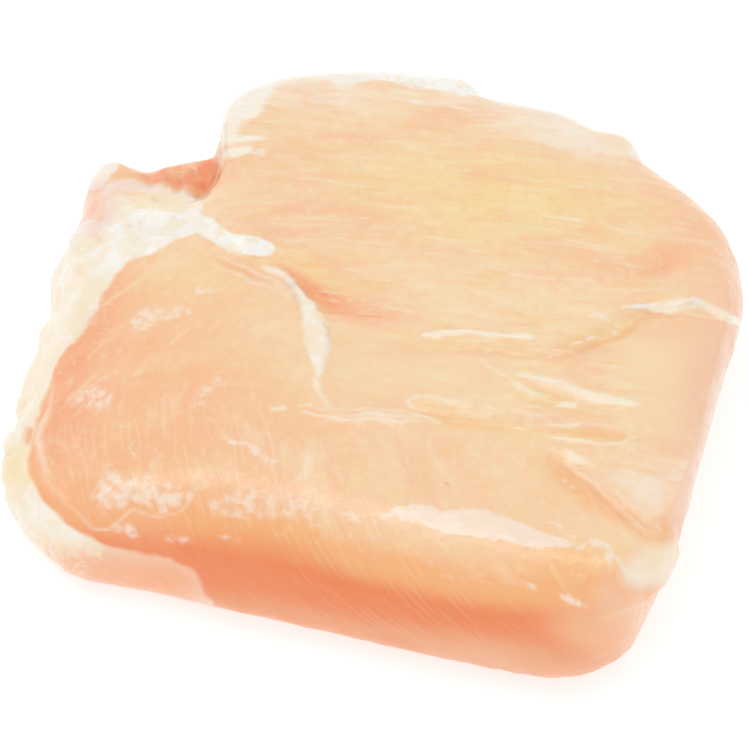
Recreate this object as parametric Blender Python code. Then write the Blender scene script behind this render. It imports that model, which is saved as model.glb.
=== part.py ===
"""A raw chicken breast: one soft solid that lies flat on its base.

Lengths and places are in millimetres, and become metres when the mesh is written. Left is -X, the
front is -Y and up is +Z. The skin is one closed surface in three parts:

- the rim, a rounded profile carried round the plan outline, from the top down to the base;
- the top sheet inside the rim, a plateau with falls, mounds, ridges and creases;
- the base, one flat face at height zero.
"""

from typing import NamedTuple

import bmesh
import bpy
import numpy as np
from mathutils import Vector
from mathutils.geometry import delaunay_2d_cdt

# Driving sizes
MM = 0.001
PLATEAU_HEIGHT = 28.0

# How finely the skin is cut: points round the rim, rings up it, and the spacing of the top sheet
RIM_POINTS = 196
TOP_RINGS = 8
BASE_RINGS = 4
CURVE_STEPS = 24
SHEET_SPACING = 2.6
SHEET_CLEARANCE = 1.7

# The rim's profile: 2 is an ellipse, and more is squarer
TOP_SQUARENESS = 2.15
BASE_SQUARENESS = 2.3
INWARD_REACH = 9.0

# Finish
MEAT_COLOUR = (0.87, 0.56, 0.36, 1.0)
MEAT_ROUGHNESS = 0.32


class Edge(NamedTuple):
    """A point of the plan outline, on the widest line of the side wall.

    x, y: its place. height: how high the widest line is. top: how far in the rounding above it
    reaches. base: how far in the rounding below it reaches.
    """

    x: float
    y: float
    height: float
    top: float
    base: float


# The outline, anticlockwise: the long front wall, with a deep shoulder
FRONT = [
    Edge(-66.0, -37.0, 8.0, 11.0, 6.0),
    Edge(-58.0, -43.0, 8.5, 13.0, 6.0),
    Edge(-46.0, -46.0, 9.0, 15.0, 6.0),
    Edge(-30.0, -50.5, 9.0, 19.0, 7.0),
    Edge(-12.0, -55.2, 9.0, 21.0, 7.0),
    Edge(6.0, -60.2, 9.5, 21.0, 7.0),
    Edge(22.0, -64.5, 10.0, 19.0, 7.0),
    Edge(34.0, -66.7, 10.0, 17.0, 8.0),
    Edge(41.5, -65.5, 10.0, 14.0, 8.0),
]
# The cut corner
CORNER = [
    Edge(47.5, -61.0, 10.5, 11.0, 8.0),
    Edge(51.8, -55.0, 10.5, 8.0, 8.0),
    Edge(55.0, -48.5, 11.0, 7.0, 7.0),
]
# The straight cut side
RIGHT = [
    Edge(58.2, -41.0, 11.0, 7.0, 6.0),
    Edge(63.5, -24.0, 10.0, 7.0, 5.0),
    Edge(70.4, -3.0, 10.0, 8.0, 5.0),
    Edge(75.8, 11.0, 11.0, 9.0, 6.0),
]
# The round back of the large lobe, with a knob and a step of fat on it
BACK = [
    Edge(77.8, 22.0, 12.0, 12.0, 7.0),
    Edge(75.5, 33.5, 12.0, 12.0, 7.0),
    Edge(68.0, 45.0, 12.0, 12.0, 7.0),
    Edge(62.0, 54.0, 13.0, 11.0, 7.0),
    Edge(58.2, 61.2, 14.0, 8.0, 7.0),
    Edge(49.0, 64.5, 13.0, 10.0, 7.0),
    Edge(36.0, 72.5, 12.0, 11.0, 7.0),
    Edge(26.5, 75.5, 12.0, 11.0, 7.0),
    Edge(22.5, 80.5, 12.0, 11.0, 7.0),
    Edge(10.0, 83.5, 12.0, 11.0, 7.0),
    Edge(-8.0, 84.0, 12.0, 11.0, 7.0),
    Edge(-22.0, 82.0, 12.0, 11.0, 7.0),
    Edge(-30.5, 76.8, 12.0, 9.0, 7.0),
    Edge(-34.0, 69.5, 12.0, 6.0, 6.0),
    Edge(-34.4, 65.0, 11.0, 5.0, 6.0),
]
# The low chunk behind the left lobe
CHUNK = [
    Edge(-40.0, 64.0, 9.0, 6.0, 6.0),
    Edge(-51.5, 61.3, 8.0, 7.0, 6.0),
    Edge(-59.5, 63.4, 8.0, 7.0, 6.0),
    Edge(-64.0, 57.5, 8.0, 7.0, 6.0),
    Edge(-65.5, 44.0, 8.0, 8.0, 6.0),
]
# The left side, with its collar of fat
LEFT = [
    Edge(-68.5, 30.5, 9.0, 10.0, 6.0),
    Edge(-69.8, 17.0, 9.0, 10.0, 6.0),
    Edge(-71.8, 8.0, 9.0, 10.0, 6.0),
    Edge(-73.5, -5.0, 9.0, 10.0, 6.0),
    Edge(-74.4, -18.0, 8.5, 10.0, 6.0),
    Edge(-72.3, -29.0, 8.0, 10.0, 6.0),
]
OUTLINE = FRONT + CORNER + RIGHT + BACK + CHUNK + LEFT

# A nub of fat that hangs over the cut corner: its middle, its push out and its half sizes
NUB_X, NUB_Y, NUB_HEIGHT = 53.2, -51.8, 22.5
NUB_TURN = -32.0
NUB_PUSH = 5.6
NUB_HALF_WIDTH = 5.8
NUB_HALF_THICKNESS = 3.6

# Broad mounds and hollows of the top: x, y, half length, half width, turn in degrees, height
MOUNDS = [
    (16.0, 34.0, 60.0, 34.0, -8.0, 1.2),
    (-26.0, -8.0, 26.0, 24.0, 60.0, 1.6),
    (-6.0, 7.0, 15.0, 7.0, -25.0, -2.6),
    (24.0, -26.0, 26.0, 12.0, -8.0, 0.8),
    (58.0, -34.0, 9.0, 16.0, -18.0, -1.8),
]

# The left lobe rolls down from its crest to the collar of fat
LEFT_CREST_X = -27.0
LEFT_FALL = 10.5
LEFT_FALL_REACH = 38.0

# The chunk lies lower than the large lobe, and a cliff parts them
CHUNK_HEIGHT = 17.5
CHUNK_TOP = 23.5
CHUNK_FROM_Y = 33.0
CHUNK_TO_Y = 56.0
CLIFF_X = -35.0
CLIFF_HALF_WIDTH = 2.2
CLIFF_FOOT_HALF_WIDTH = 11.0

# Ridges and creases of the top: the route, half width and height, with the ends faded out
COLLAR_ROUTE = [(-38, 31), (-50, 27), (-58, 20), (-62, 8), (-66, -6), (-69, -20), (-67, -30), (-58, -36)]
COLLAR = (COLLAR_ROUTE, 4.0, 1.3)
SEAM_FAT = ([(-40, 33), (-34, 31), (-27, 25.5), (-21, 23.5)], 2.8, 1.5)
SEAM_LINE = ([(-24, 21), (-18, 17), (-12.5, 8), (-11.5, 1), (-10.5, -9), (-9, -18)], 1.9, 1.0)
SEAM_CREASE = ([(-22, 20), (-14, 14), (-8, 9), (3, 6.5)], 2.4, -1.8)
CLEFT = ([(-37, 42), (-37, 52), (-37.5, 66)], 2.6, -3.0)
RIGHT_CREASE = ([(37, -5.5), (42, -4), (46, -1.5), (53, 4), (61, 6.2)], 2.2, -1.5)
RIGHT_SINEW = ([(52, 7.5), (60, 8.5), (65, 9.8), (70, 8.5), (74, 7.5)], 1.8, 0.8)
CORNER_CREASE = ([(33, -32), (40, -39.2), (51, -49.5)], 2.2, -1.9)
ROUTES = [COLLAR, SEAM_FAT, SEAM_LINE, SEAM_CREASE, CLEFT, RIGHT_CREASE, RIGHT_SINEW, CORNER_CREASE]
END_FADE = 7.0


def remove_everything() -> None:
    """Empty the scene."""
    for thing in list(bpy.data.objects):
        bpy.data.objects.remove(thing, do_unlink=True)


def smooth_step(value: np.ndarray) -> np.ndarray:
    """Rise from 0 to 1 with level ends, as value goes from 0 to 1."""
    clipped = np.clip(value, 0.0, 1.0)
    return clipped * clipped * (3.0 - 2.0 * clipped)


def closed_curve(points: np.ndarray, steps: int) -> np.ndarray:
    """Pass a closed Catmull-Rom curve through the rows of points, with steps rows to a span."""
    before = np.roll(points, 1, axis=0)
    after = np.roll(points, -1, axis=0)
    beyond = np.roll(points, -2, axis=0)
    t = (np.arange(steps) / steps)[None, :, None]
    p0, p1, p2, p3 = (rows[:, None, :] for rows in (before, points, after, beyond))
    curve = 0.5 * (
        2.0 * p1
        + (p2 - p0) * t
        + (2.0 * p0 - 5.0 * p1 + 4.0 * p2 - p3) * t ** 2
        + (3.0 * p1 - p0 - 3.0 * p2 + p3) * t ** 3
    )
    return curve.reshape(-1, points.shape[1])


def spaced_evenly(curve: np.ndarray, count: int) -> np.ndarray:
    """Resample a closed curve at count rows, evenly along its length in plan."""
    closed = np.vstack([curve, curve[:1]])
    lengths = np.hypot(*np.diff(closed[:, :2], axis=0).T)
    along = np.concatenate([[0.0], np.cumsum(lengths)])
    wanted = np.linspace(0.0, along[-1], count, endpoint=False)
    return np.stack([np.interp(wanted, along, column) for column in closed.T], axis=1)


def inward_directions(outline: np.ndarray) -> np.ndarray:
    """Give the inward normal at each outline point, evened out along the outline."""
    ahead = np.roll(outline[:, :2], -1, axis=0) - np.roll(outline[:, :2], 1, axis=0)
    normal = np.stack([-ahead[:, 1], ahead[:, 0]], axis=1)
    normal /= np.linalg.norm(normal, axis=1, keepdims=True)
    step = np.hypot(*np.diff(outline[:2, :2], axis=0)[0])
    reach = int(round(3.0 * INWARD_REACH / step))
    total = np.zeros_like(normal)
    for shift in range(-reach, reach + 1):
        total += np.exp(-0.5 * (shift * step / INWARD_REACH) ** 2) * np.roll(normal, shift, axis=0)
    return total / np.linalg.norm(total, axis=1, keepdims=True)


def route_bump(x: np.ndarray, y: np.ndarray, route: tuple) -> np.ndarray:
    """Raise or sink a rounded band along a route, fading out at both ends."""
    points, half_width, height = route
    corners = np.array(points, dtype=float)
    spans = np.diff(corners, axis=0)
    lengths = np.hypot(spans[:, 0], spans[:, 1])
    starts = np.concatenate([[0.0], np.cumsum(lengths)])
    nearest = np.full(x.shape, np.inf)
    place = np.zeros(x.shape)
    for start, span, length, begun in zip(corners[:-1], spans, lengths, starts[:-1]):
        part = np.clip(((x - start[0]) * span[0] + (y - start[1]) * span[1]) / length ** 2, 0.0, 1.0)
        distance = np.hypot(x - start[0] - part * span[0], y - start[1] - part * span[1])
        closer = distance < nearest
        nearest = np.where(closer, distance, nearest)
        place = np.where(closer, begun + part * length, place)
    fade = smooth_step(place / END_FADE) * smooth_step((starts[-1] - place) / END_FADE)
    return height * fade * np.exp(-0.5 * (nearest / half_width) ** 2)


def mound(x: np.ndarray, y: np.ndarray, shape: tuple) -> np.ndarray:
    """Give one broad oval mound, or a hollow where its height is negative."""
    middle_x, middle_y, half_length, half_width, turn, height = shape
    cosine, sine = np.cos(np.radians(turn)), np.sin(np.radians(turn))
    along = ((x - middle_x) * cosine + (y - middle_y) * sine) / half_length
    across = ((y - middle_y) * cosine - (x - middle_x) * sine) / half_width
    return height * np.exp(-(along ** 2 + across ** 2))


def chunk_share(x: np.ndarray, y: np.ndarray) -> np.ndarray:
    """Give 1 on the low chunk and 0 on the lobes: the cliff is steep at the back and soft in front."""
    back = smooth_step((y - CHUNK_FROM_Y) / (CHUNK_TO_Y - CHUNK_FROM_Y))
    half_width = CLIFF_FOOT_HALF_WIDTH + (CLIFF_HALF_WIDTH - CLIFF_FOOT_HALF_WIDTH) * back
    side = smooth_step(0.5 + (CLIFF_X - x) / (2.0 * half_width))
    return side * smooth_step((y - CHUNK_FROM_Y + CLIFF_FOOT_HALF_WIDTH) / CLIFF_FOOT_HALF_WIDTH)


def top_height(x: np.ndarray, y: np.ndarray) -> np.ndarray:
    """Height of the top before the rim rounds it off: plateau, fall, mounds, chunk and routes."""
    past_crest = np.clip((LEFT_CREST_X - x) / LEFT_FALL_REACH, 0.0, 1.3)
    height = PLATEAU_HEIGHT - LEFT_FALL * past_crest ** 2
    for shape in MOUNDS:
        height = height + mound(x, y, shape)
    down_back = smooth_step((y - CHUNK_FROM_Y) / (CHUNK_TO_Y - CHUNK_FROM_Y))
    chunk = np.minimum(height, CHUNK_TOP - (CHUNK_TOP - CHUNK_HEIGHT) * down_back)
    height = height + (chunk - height) * chunk_share(x, y)
    for route in ROUTES:
        height = height + route_bump(x, y, route)
    return height


def with_nub(points: np.ndarray) -> np.ndarray:
    """Push the skin near the cut corner outward, most at the nub's middle, and fading round it."""
    away = np.hypot(points[:, 0] - NUB_X, points[:, 1] - NUB_Y) / NUB_HALF_WIDTH
    above = (points[:, 2] - NUB_HEIGHT) / NUB_HALF_THICKNESS
    push = NUB_PUSH * np.exp(-(away ** 2) - above ** 2)
    outward = np.array([np.cos(np.radians(NUB_TURN)), np.sin(np.radians(NUB_TURN)), 0.0])
    return points + push[:, None] * outward


def rim_rings(outline: np.ndarray, inward: np.ndarray) -> list[np.ndarray]:
    """Carry the rounded profile round the outline, from the top's edge down to the base's edge.

    Above the widest line a ring's inset and height follow a superellipse quarter that ends level
    in the top sheet. Below it they follow one that ends level at the base.
    """
    place, widest, top, base = outline[:, :2], outline[:, 2], outline[:, 3], outline[:, 4]
    rings = []
    for angle in np.linspace(np.pi / 2, 0.0, TOP_RINGS + 1):
        inset = 1.0 - np.cos(angle) ** (2.0 / TOP_SQUARENESS)
        rise = np.sin(angle) ** (2.0 / TOP_SQUARENESS)
        plan = place + inward * (top * inset)[:, None]
        height = widest + (top_height(plan[:, 0], plan[:, 1]) - widest) * rise
        rings.append(with_nub(np.column_stack([plan, height])))
    for angle in np.linspace(0.0, np.pi / 2, BASE_RINGS + 1)[1:]:
        inset = 1.0 - np.cos(angle) ** (2.0 / BASE_SQUARENESS)
        drop = np.sin(angle) ** (2.0 / BASE_SQUARENESS)
        plan = place + inward * (base * inset)[:, None]
        rings.append(np.column_stack([plan, widest * (1.0 - drop)]))
    rings[-1][:, 2] = 0.0
    return rings


def inside(points: np.ndarray, edge: np.ndarray) -> np.ndarray:
    """Tell which points lie inside a closed edge, by counting the spans to the right of each."""
    x, y = points[:, :1], points[:, 1:2]
    x0, y0 = edge[:, 0], edge[:, 1]
    x1, y1 = np.roll(x0, -1), np.roll(y0, -1)
    spans = (y0 > y) != (y1 > y)
    rise = np.where(y1 == y0, 1.0, y1 - y0)
    crossings = spans & (x < x0 + (y - y0) * (x1 - x0) / rise)
    return crossings.sum(axis=1) % 2 == 1


def sheet_points(edge: np.ndarray) -> np.ndarray:
    """Lay points inside the edge in even staggered rows, clear of the edge itself."""
    low, high = edge.min(axis=0), edge.max(axis=0)
    row_gap = SHEET_SPACING * np.sqrt(0.75)
    rows = np.arange(low[1], high[1], row_gap)
    columns = np.arange(low[0], high[0], SHEET_SPACING)
    x = columns[None, :] + 0.5 * SHEET_SPACING * (np.arange(len(rows)) % 2)[:, None]
    y = np.broadcast_to(rows[:, None], x.shape)
    points = np.column_stack([x.ravel(), y.ravel()])
    gaps = np.hypot(points[:, :1] - edge[:, 0], points[:, 1:2] - edge[:, 1]).min(axis=1)
    return points[inside(points, edge) & (gaps > SHEET_CLEARANCE)]


def top_sheet(edge: np.ndarray) -> tuple[np.ndarray, list]:
    """Fill the top inside the rim with even triangles, which begin with the edge's own points."""
    plan = np.vstack([edge, sheet_points(edge)])
    border = [list(range(len(edge)))]
    found = delaunay_2d_cdt([Vector(point) for point in plan], [], border, 1, 1e-6)
    return with_nub(np.column_stack([plan, top_height(plan[:, 0], plan[:, 1])])), found[2]


def add_skin(mesh: bmesh.types.BMesh, sheet: np.ndarray, triangles: list, rings: list[np.ndarray]) -> None:
    """Join the sheet, the rings and the base into one closed skin that faces out."""
    top = [mesh.verts.new(point) for point in sheet]
    for triangle in triangles:
        mesh.faces.new([top[corner] for corner in triangle])
    upper = top[:RIM_POINTS]
    for ring in rings[1:]:
        lower = [mesh.verts.new(point) for point in ring]
        for here in range(RIM_POINTS):
            after = (here + 1) % RIM_POINTS
            mesh.faces.new([upper[here], lower[here], lower[after], upper[after]])
        upper = lower
    mesh.faces.new(list(reversed(upper)))
    bmesh.ops.recalc_face_normals(mesh, faces=mesh.faces)


def meat_material() -> bpy.types.Material:
    """Make the wet pink and yellow meat."""
    material = bpy.data.materials.new("raw_chicken_meat")
    material.use_nodes = True
    shader = material.node_tree.nodes["Principled BSDF"]
    shader.inputs["Base Color"].default_value = MEAT_COLOUR
    shader.inputs["Roughness"].default_value = MEAT_ROUGHNESS
    shader.inputs["Metallic"].default_value = 0.0
    return material


def build_breast() -> bpy.types.Object:
    """Build the whole breast as one object, its middle over the origin and its base at zero."""
    outline = spaced_evenly(closed_curve(np.array(OUTLINE), CURVE_STEPS), RIM_POINTS)
    rings = rim_rings(outline, inward_directions(outline))
    sheet, triangles = top_sheet(rings[0][:, :2])
    middle = 0.5 * (outline[:, :2].min(axis=0) + outline[:, :2].max(axis=0))
    shift = np.array([middle[0], middle[1], 0.0])
    builder = bmesh.new()
    add_skin(builder, (sheet - shift) * MM, triangles, [(ring - shift) * MM for ring in rings])
    mesh = bpy.data.meshes.new("chicken_breast")
    builder.to_mesh(mesh)
    builder.free()
    mesh.shade_smooth()
    breast = bpy.data.objects.new("chicken_breast", mesh)
    breast.data.materials.append(meat_material())
    bpy.context.scene.collection.objects.link(breast)
    return breast


def main() -> None:
    """Empty the scene and build the breast."""
    remove_everything()
    build_breast()


main()
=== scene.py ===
"""Dress the raw chicken breast: wet peach meat with a collar of fat, a seam, sinews and membranes.

The form is worked out in millimetres on the cut's own plan, where left is -X, the front is -Y and up is
+Z. It becomes metres, with its middle over the origin, when a mesh is written.
"""

import logging
from dataclasses import dataclass, field
from enum import Enum
from typing import NamedTuple

import bpy
import numpy as np
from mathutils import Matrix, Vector


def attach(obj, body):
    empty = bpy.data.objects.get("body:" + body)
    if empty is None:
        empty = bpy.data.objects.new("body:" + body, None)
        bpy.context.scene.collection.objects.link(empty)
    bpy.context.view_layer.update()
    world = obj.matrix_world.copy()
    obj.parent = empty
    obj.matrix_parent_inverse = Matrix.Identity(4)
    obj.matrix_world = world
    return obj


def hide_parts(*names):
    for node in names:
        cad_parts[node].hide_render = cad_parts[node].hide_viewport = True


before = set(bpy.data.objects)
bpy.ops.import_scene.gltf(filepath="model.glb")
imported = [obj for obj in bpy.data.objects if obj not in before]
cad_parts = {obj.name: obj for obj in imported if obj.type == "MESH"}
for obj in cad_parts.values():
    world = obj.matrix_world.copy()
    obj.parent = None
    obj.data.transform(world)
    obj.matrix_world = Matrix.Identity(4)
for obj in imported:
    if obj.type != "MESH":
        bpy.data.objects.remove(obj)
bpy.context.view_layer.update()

Array = np.ndarray
Colour = tuple[float, float, float]
Place = tuple[float, float]
Row = tuple[float, ...]

MM = 0.001
NODE = "chicken_breast"
BODY = "root"
LOG = logging.getLogger("chicken_breast")

# How curves are divided between two of their rows
OUTLINE_STEPS = 24
ROUTE_STEPS = 5
RING_STEPS = 4

# The whole numbers that mix a lattice corner's place and seed into its random value
CORNER_PRIMES = (73856093, 19349663, 83492791)
SEED_PRIME = 2654435761
MIXING = ((15, 2246822519), (13, 3266489917))
WORD = 0xFFFFFFFF
HALF_WORD = 0xFFFF
LAYER_SEEDS_APART = 17


class Edge(NamedTuple):
    """A point of the plan outline, on the widest line of the side wall, in millimetres.

    Attributes:
        x: Its place from left to right.
        y: Its place from front to back.
        height: How high the widest line is.
        top: How far in the rounding above it reaches.
        base: How far in the rounding below it reaches.
    """

    x: float
    y: float
    height: float
    top: float
    base: float


class Kind(Enum):
    """What a marking on the skin is made of. The wet kind also lays a painted glare, the crease kind a
    painted shade besides real specks, and some film strokes are partly painted highlights.
    """

    FAT = "fat"
    THIN_FAT = "thin_fat"
    FILM = "film"
    # Crease marks: a painted shade in creases, valleys and beside cords, and real dark specks on the fat;
    # they also dent the skin.
    CREASE = "crease"
    RAW = "raw"
    # Wet places: a lower roughness, and a painted glare laid over the colour.
    WET = "wet"
    COMB = "comb"
    CALM = "calm"


# Each kind by its own name, for the long lists of markings
FAT, THIN_FAT, FILM, CREASE, RAW, WET, COMB, CALM = Kind

# The plan outline, anticlockwise: the long front wall, with a deep shoulder
FRONT = [
    Edge(-66, -37, 8, 11, 6), Edge(-58, -43, 8.5, 13, 6), Edge(-46, -46, 9, 15, 6),
    Edge(-30, -50.5, 9, 19, 7), Edge(-12, -55.2, 9, 21, 7), Edge(6, -60.2, 9.5, 21, 7),
    Edge(22, -64.5, 10, 19, 7), Edge(34, -66.7, 10, 17, 8), Edge(41.5, -65.5, 10, 14, 8),
]
# The cut corner
CORNER = [
    Edge(48, -61.6, 10.5, 11, 8), Edge(51.8, -55, 10.5, 8, 8), Edge(55, -48.5, 11, 7, 7),
]
# The straight cut side
RIGHT = [
    Edge(58.4, -42, 18, 3.4, 8), Edge(63.7, -25.6, 21, 2.8, 9), Edge(70.2, -5.6, 20.5, 3.2, 9),
    Edge(75.4, 9.6, 17.5, 5, 8),
]
# The round back of the large lobe, with a knob and a step of fat on it
BACK = [
    Edge(77.8, 22, 12, 12, 7), Edge(76, 34, 12, 12, 7), Edge(68.8, 45.8, 12, 12, 7),
    Edge(61, 53.8, 13, 11, 7), Edge(57.4, 60.2, 14, 7.5, 7), Edge(51, 63.6, 13, 9.5, 7),
    Edge(44.6, 69.2, 12.5, 10.5, 7), Edge(36, 72.5, 12, 11, 7), Edge(26.5, 75.5, 12, 11, 7),
    Edge(22.5, 80.5, 12, 11, 7), Edge(10, 83.5, 12, 11, 7), Edge(-8, 84, 12, 11, 7),
    Edge(-22, 82, 12, 11, 7), Edge(-30.5, 76.8, 12, 9, 7), Edge(-34.8, 70, 12, 6, 6),
    Edge(-35.2, 65.2, 11, 5, 6),
]
# The low chunk behind the left lobe
CHUNK = [
    Edge(-40, 64, 9, 6, 6), Edge(-51.5, 61.3, 8, 7, 6), Edge(-59.5, 63.4, 8, 7, 6),
    Edge(-64, 57.5, 8, 7, 6), Edge(-65.6, 46, 8, 8, 6),
]
# The left side, with its collar of fat
LEFT = [
    Edge(-68.2, 36.5, 9, 9, 6), Edge(-69.6, 31.5, 9, 10, 6), Edge(-69, 23.4, 9, 10, 6),
    Edge(-68.8, 19.4, 9, 10, 6), Edge(-71, 14.2, 9, 10, 6), Edge(-70.9, 9.2, 9, 10, 6),
    Edge(-72.8, 3.4, 9, 10, 6), Edge(-73, -7, 9, 10, 6), Edge(-74.2, -12.5, 8.5, 10, 6),
    Edge(-74, -20, 8.5, 10, 6), Edge(-72, -28.6, 8, 10, 6),
]


# Numbers and shapes that every part uses

def smooth_step(value: Array) -> Array:
    """Rise from 0 to 1 with level ends, as value goes from 0 to 1."""
    clipped = np.clip(value, 0.0, 1.0)
    return clipped * clipped * (3.0 - 2.0 * clipped)


@dataclass(frozen=True)
class Ramp:
    """A smooth step that goes from 0 at start to 1 at start plus span, downwards if span is negative."""

    start: float
    span: float

    def at(self, value: Array) -> Array:
        """Give its value, from 0 to 1."""
        return smooth_step((value - self.start) / self.span)


def curve_through(points: Array, steps: int, closed: bool) -> Array:
    """Pass a Catmull-Rom curve through rows of points.

    Each span between two rows is the cubic whose slope at a row is half the step from the row
    before it to the row after it.

    Args:
        points: Rows of numbers, of which the first two are the place.
        steps: Rows made for each span.
        closed: Whether the curve runs back to its first row.

    Returns:
        The curve's rows.
    """
    first = points[-1:] if closed else 2.0 * points[:1] - points[1:2]
    last = points[:2] if closed else 2.0 * points[-1:] - points[-2:-1]
    padded = np.vstack([first, points, last])[:, None, :]
    p0, p1, p2, p3 = padded[:-3], padded[1:-2], padded[2:-1], padded[3:]
    t = (np.arange(steps) / steps)[None, :, None]
    curve = 0.5 * (
        2.0 * p1
        + (p2 - p0) * t
        + (2.0 * p0 - 5.0 * p1 + 4.0 * p2 - p3) * t ** 2
        + (3.0 * p1 - p0 - 3.0 * p2 + p3) * t ** 3
    ).reshape(-1, points.shape[1])
    return curve if closed else np.vstack([curve, points[-1:]])


def spaced_evenly(curve: Array, count: int) -> Array:
    """Resample a closed curve evenly along its length in plan.

    Args:
        curve: The curve's rows.
        count: How many rows are wanted.

    Returns:
        The new rows, worked out between the old ones.
    """
    closed = np.vstack([curve, curve[:1]])
    lengths = np.hypot(*np.diff(closed[:, :2], axis=0).T)
    along = np.concatenate([[0.0], np.cumsum(lengths)])
    wanted = np.linspace(0.0, along[-1], count, endpoint=False)
    return np.stack([np.interp(wanted, along, column) for column in closed.T], axis=1)


def nearest_on_route(at: Array, route: Array) -> tuple[Array, Array]:
    """Find the nearest point of a route.

    On each straight span the nearest point is the foot of the perpendicular, held within the span.

    Args:
        at: Places, one row each.
        route: The route's rows. Columns past the second are carried along, such as a width.

    Returns:
        The distance to the route, and the route's row there, worked out between its rows.
    """
    distance = np.full(len(at), np.inf)
    found = np.zeros((len(at), route.shape[1]))
    for start, end in zip(route[:-1], route[1:]):
        span = end[:2] - start[:2]
        part = np.clip(((at - start[:2]) @ span) / max(float(span @ span), 1e-9), 0.0, 1.0)
        gap = np.hypot(*(at - start[:2] - part[:, None] * span).T)
        closer = gap < distance
        distance = np.where(closer, gap, distance)
        found = np.where(closer[:, None], start + part[:, None] * (end - start), found)
    return distance, found


def inside_ring(at: Array, ring: Array) -> Array:
    """Tell which places lie inside a closed ring, by counting the spans to the right of each.

    Args:
        at: Places, one row each.
        ring: The ring's rows.

    Returns:
        True for a place with an odd count.
    """
    x, y = at[:, :1], at[:, 1:2]
    x0, y0 = ring[:, 0], ring[:, 1]
    x1, y1 = np.roll(x0, -1), np.roll(y0, -1)
    spans = (y0 > y) != (y1 > y)
    rise = np.where(y1 == y0, 1.0, y1 - y0)
    return (spans & (x < x0 + (y - y0) * (x1 - x0) / rise)).sum(axis=1) % 2 == 1


@dataclass(frozen=True)
class Grainy:
    """Seeded value noise: fixed random values on a cubic lattice, joined by smooth steps.

    Attributes:
        cell: Size of a lattice cell along X, Y and Z, in millimetres.
        seed: Picks the random values.
        layers: How many layers are added, each with half the cell and half the height.
    """

    cell: Row
    seed: int
    layers: int = 1

    def corner_value(self, corner: Array, seed: int) -> Array:
        """Give a lattice corner its own value, by mixing the bits of its numbers.

        Args:
            corner: Whole numbers of X, Y and Z.
            seed: Picks the values.

        Returns:
            Values from -1 to 1.
        """
        x, y, z = (corner[..., axis] * prime for axis, prime in enumerate(CORNER_PRIMES))
        mixed = (x ^ y ^ z ^ (seed * SEED_PRIME)) & WORD
        for shift, prime in MIXING:
            mixed = ((mixed ^ (mixed >> shift)) * prime) & WORD
        return ((mixed ^ (mixed >> 16)) & HALF_WORD) / (0.5 * HALF_WORD) - 1.0

    def layer(self, places: Array, seed: int) -> Array:
        """Blend the eight corner values round each place by smooth steps.

        Args:
            places: Rows of X, Y and Z, in cells.
            seed: Picks the corners' values.

        Returns:
            Values from -1 to 1.
        """
        floor = np.floor(places).astype(np.int64)
        part = smooth_step(places - floor)
        total = np.zeros(places.shape[:-1])
        for corner in np.ndindex(2, 2, 2):
            offset = np.array(corner)
            share = np.where(offset == 1, part, 1.0 - part).prod(axis=-1)
            total += share * self.corner_value(floor + offset, seed)
        return total

    def at(self, places: Array) -> Array:
        """Add the layers at each place.

        Args:
            places: Rows of X, Y and Z in millimetres. A missing Z counts as zero.

        Returns:
            Values from about -1 to 1.
        """
        if places.shape[-1] == 2:
            places = np.column_stack([places, np.zeros(len(places))])
        scaled = places / np.array(self.cell)
        heights = [0.5 ** layer for layer in range(self.layers)]
        total = sum(
            height * self.layer(scaled / height, self.seed + LAYER_SEEDS_APART * layer)
            for layer, height in enumerate(heights)
        )
        return total / sum(heights)


# The form of the cut

@dataclass(frozen=True)
class Oval:
    """A turned oval, in millimetres and degrees."""

    x: float
    y: float
    half_length: float
    half_width: float
    turn: float

    def out(self, x: Array, y: Array) -> Array:
        """Tell how far out places lie: the distance's square along and across, in half sizes.

        Args:
            x: Places from left to right.
            y: Places from front to back.

        Returns:
            0 in the middle of the oval and 1 on it.
        """
        cosine, sine = np.cos(np.radians(self.turn)), np.sin(np.radians(self.turn))
        along = ((x - self.x) * cosine + (y - self.y) * sine) / self.half_length
        across = ((y - self.y) * cosine - (x - self.x) * sine) / self.half_width
        return along ** 2 + across ** 2


@dataclass(frozen=True)
class Mound(Oval):
    """A broad mound of the top, or a hollow where its height is negative."""

    height: float

    def at(self, x: Array, y: Array) -> Array:
        """Give the height: the peak times a bell curve."""
        return self.height * np.exp(-self.out(x, y))


@dataclass(frozen=True)
class Ridge:
    """A rounded ridge along a route on the plan, or a crease where its height is negative.

    Attributes:
        route: Places on the plan.
        half_width: Of the bell curve across it.
        height: Of its crest.
        end_fade: The length over which it fades out at both ends.
    """

    route: tuple[Place, ...]
    half_width: float
    height: float
    end_fade: float = 7.0

    def at(self, x: Array, y: Array) -> Array:
        """Work out the height: a bell curve across the route, with a smooth step at both ends.

        Args:
            x: Places from left to right.
            y: Places from front to back.

        Returns:
            The heights there.
        """
        curve = np.array(self.route, dtype=float)
        along = np.concatenate([[0.0], np.cumsum(np.hypot(*np.diff(curve, axis=0).T))])
        places = np.column_stack([x.ravel(), y.ravel()])
        distance, found = nearest_on_route(places, np.column_stack([curve, along]))
        place = found[:, 2]
        fade = smooth_step(place / self.end_fade) * smooth_step((along[-1] - place) / self.end_fade)
        return (self.height * fade * np.exp(-0.5 * (distance / self.half_width) ** 2)).reshape(x.shape)


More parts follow.
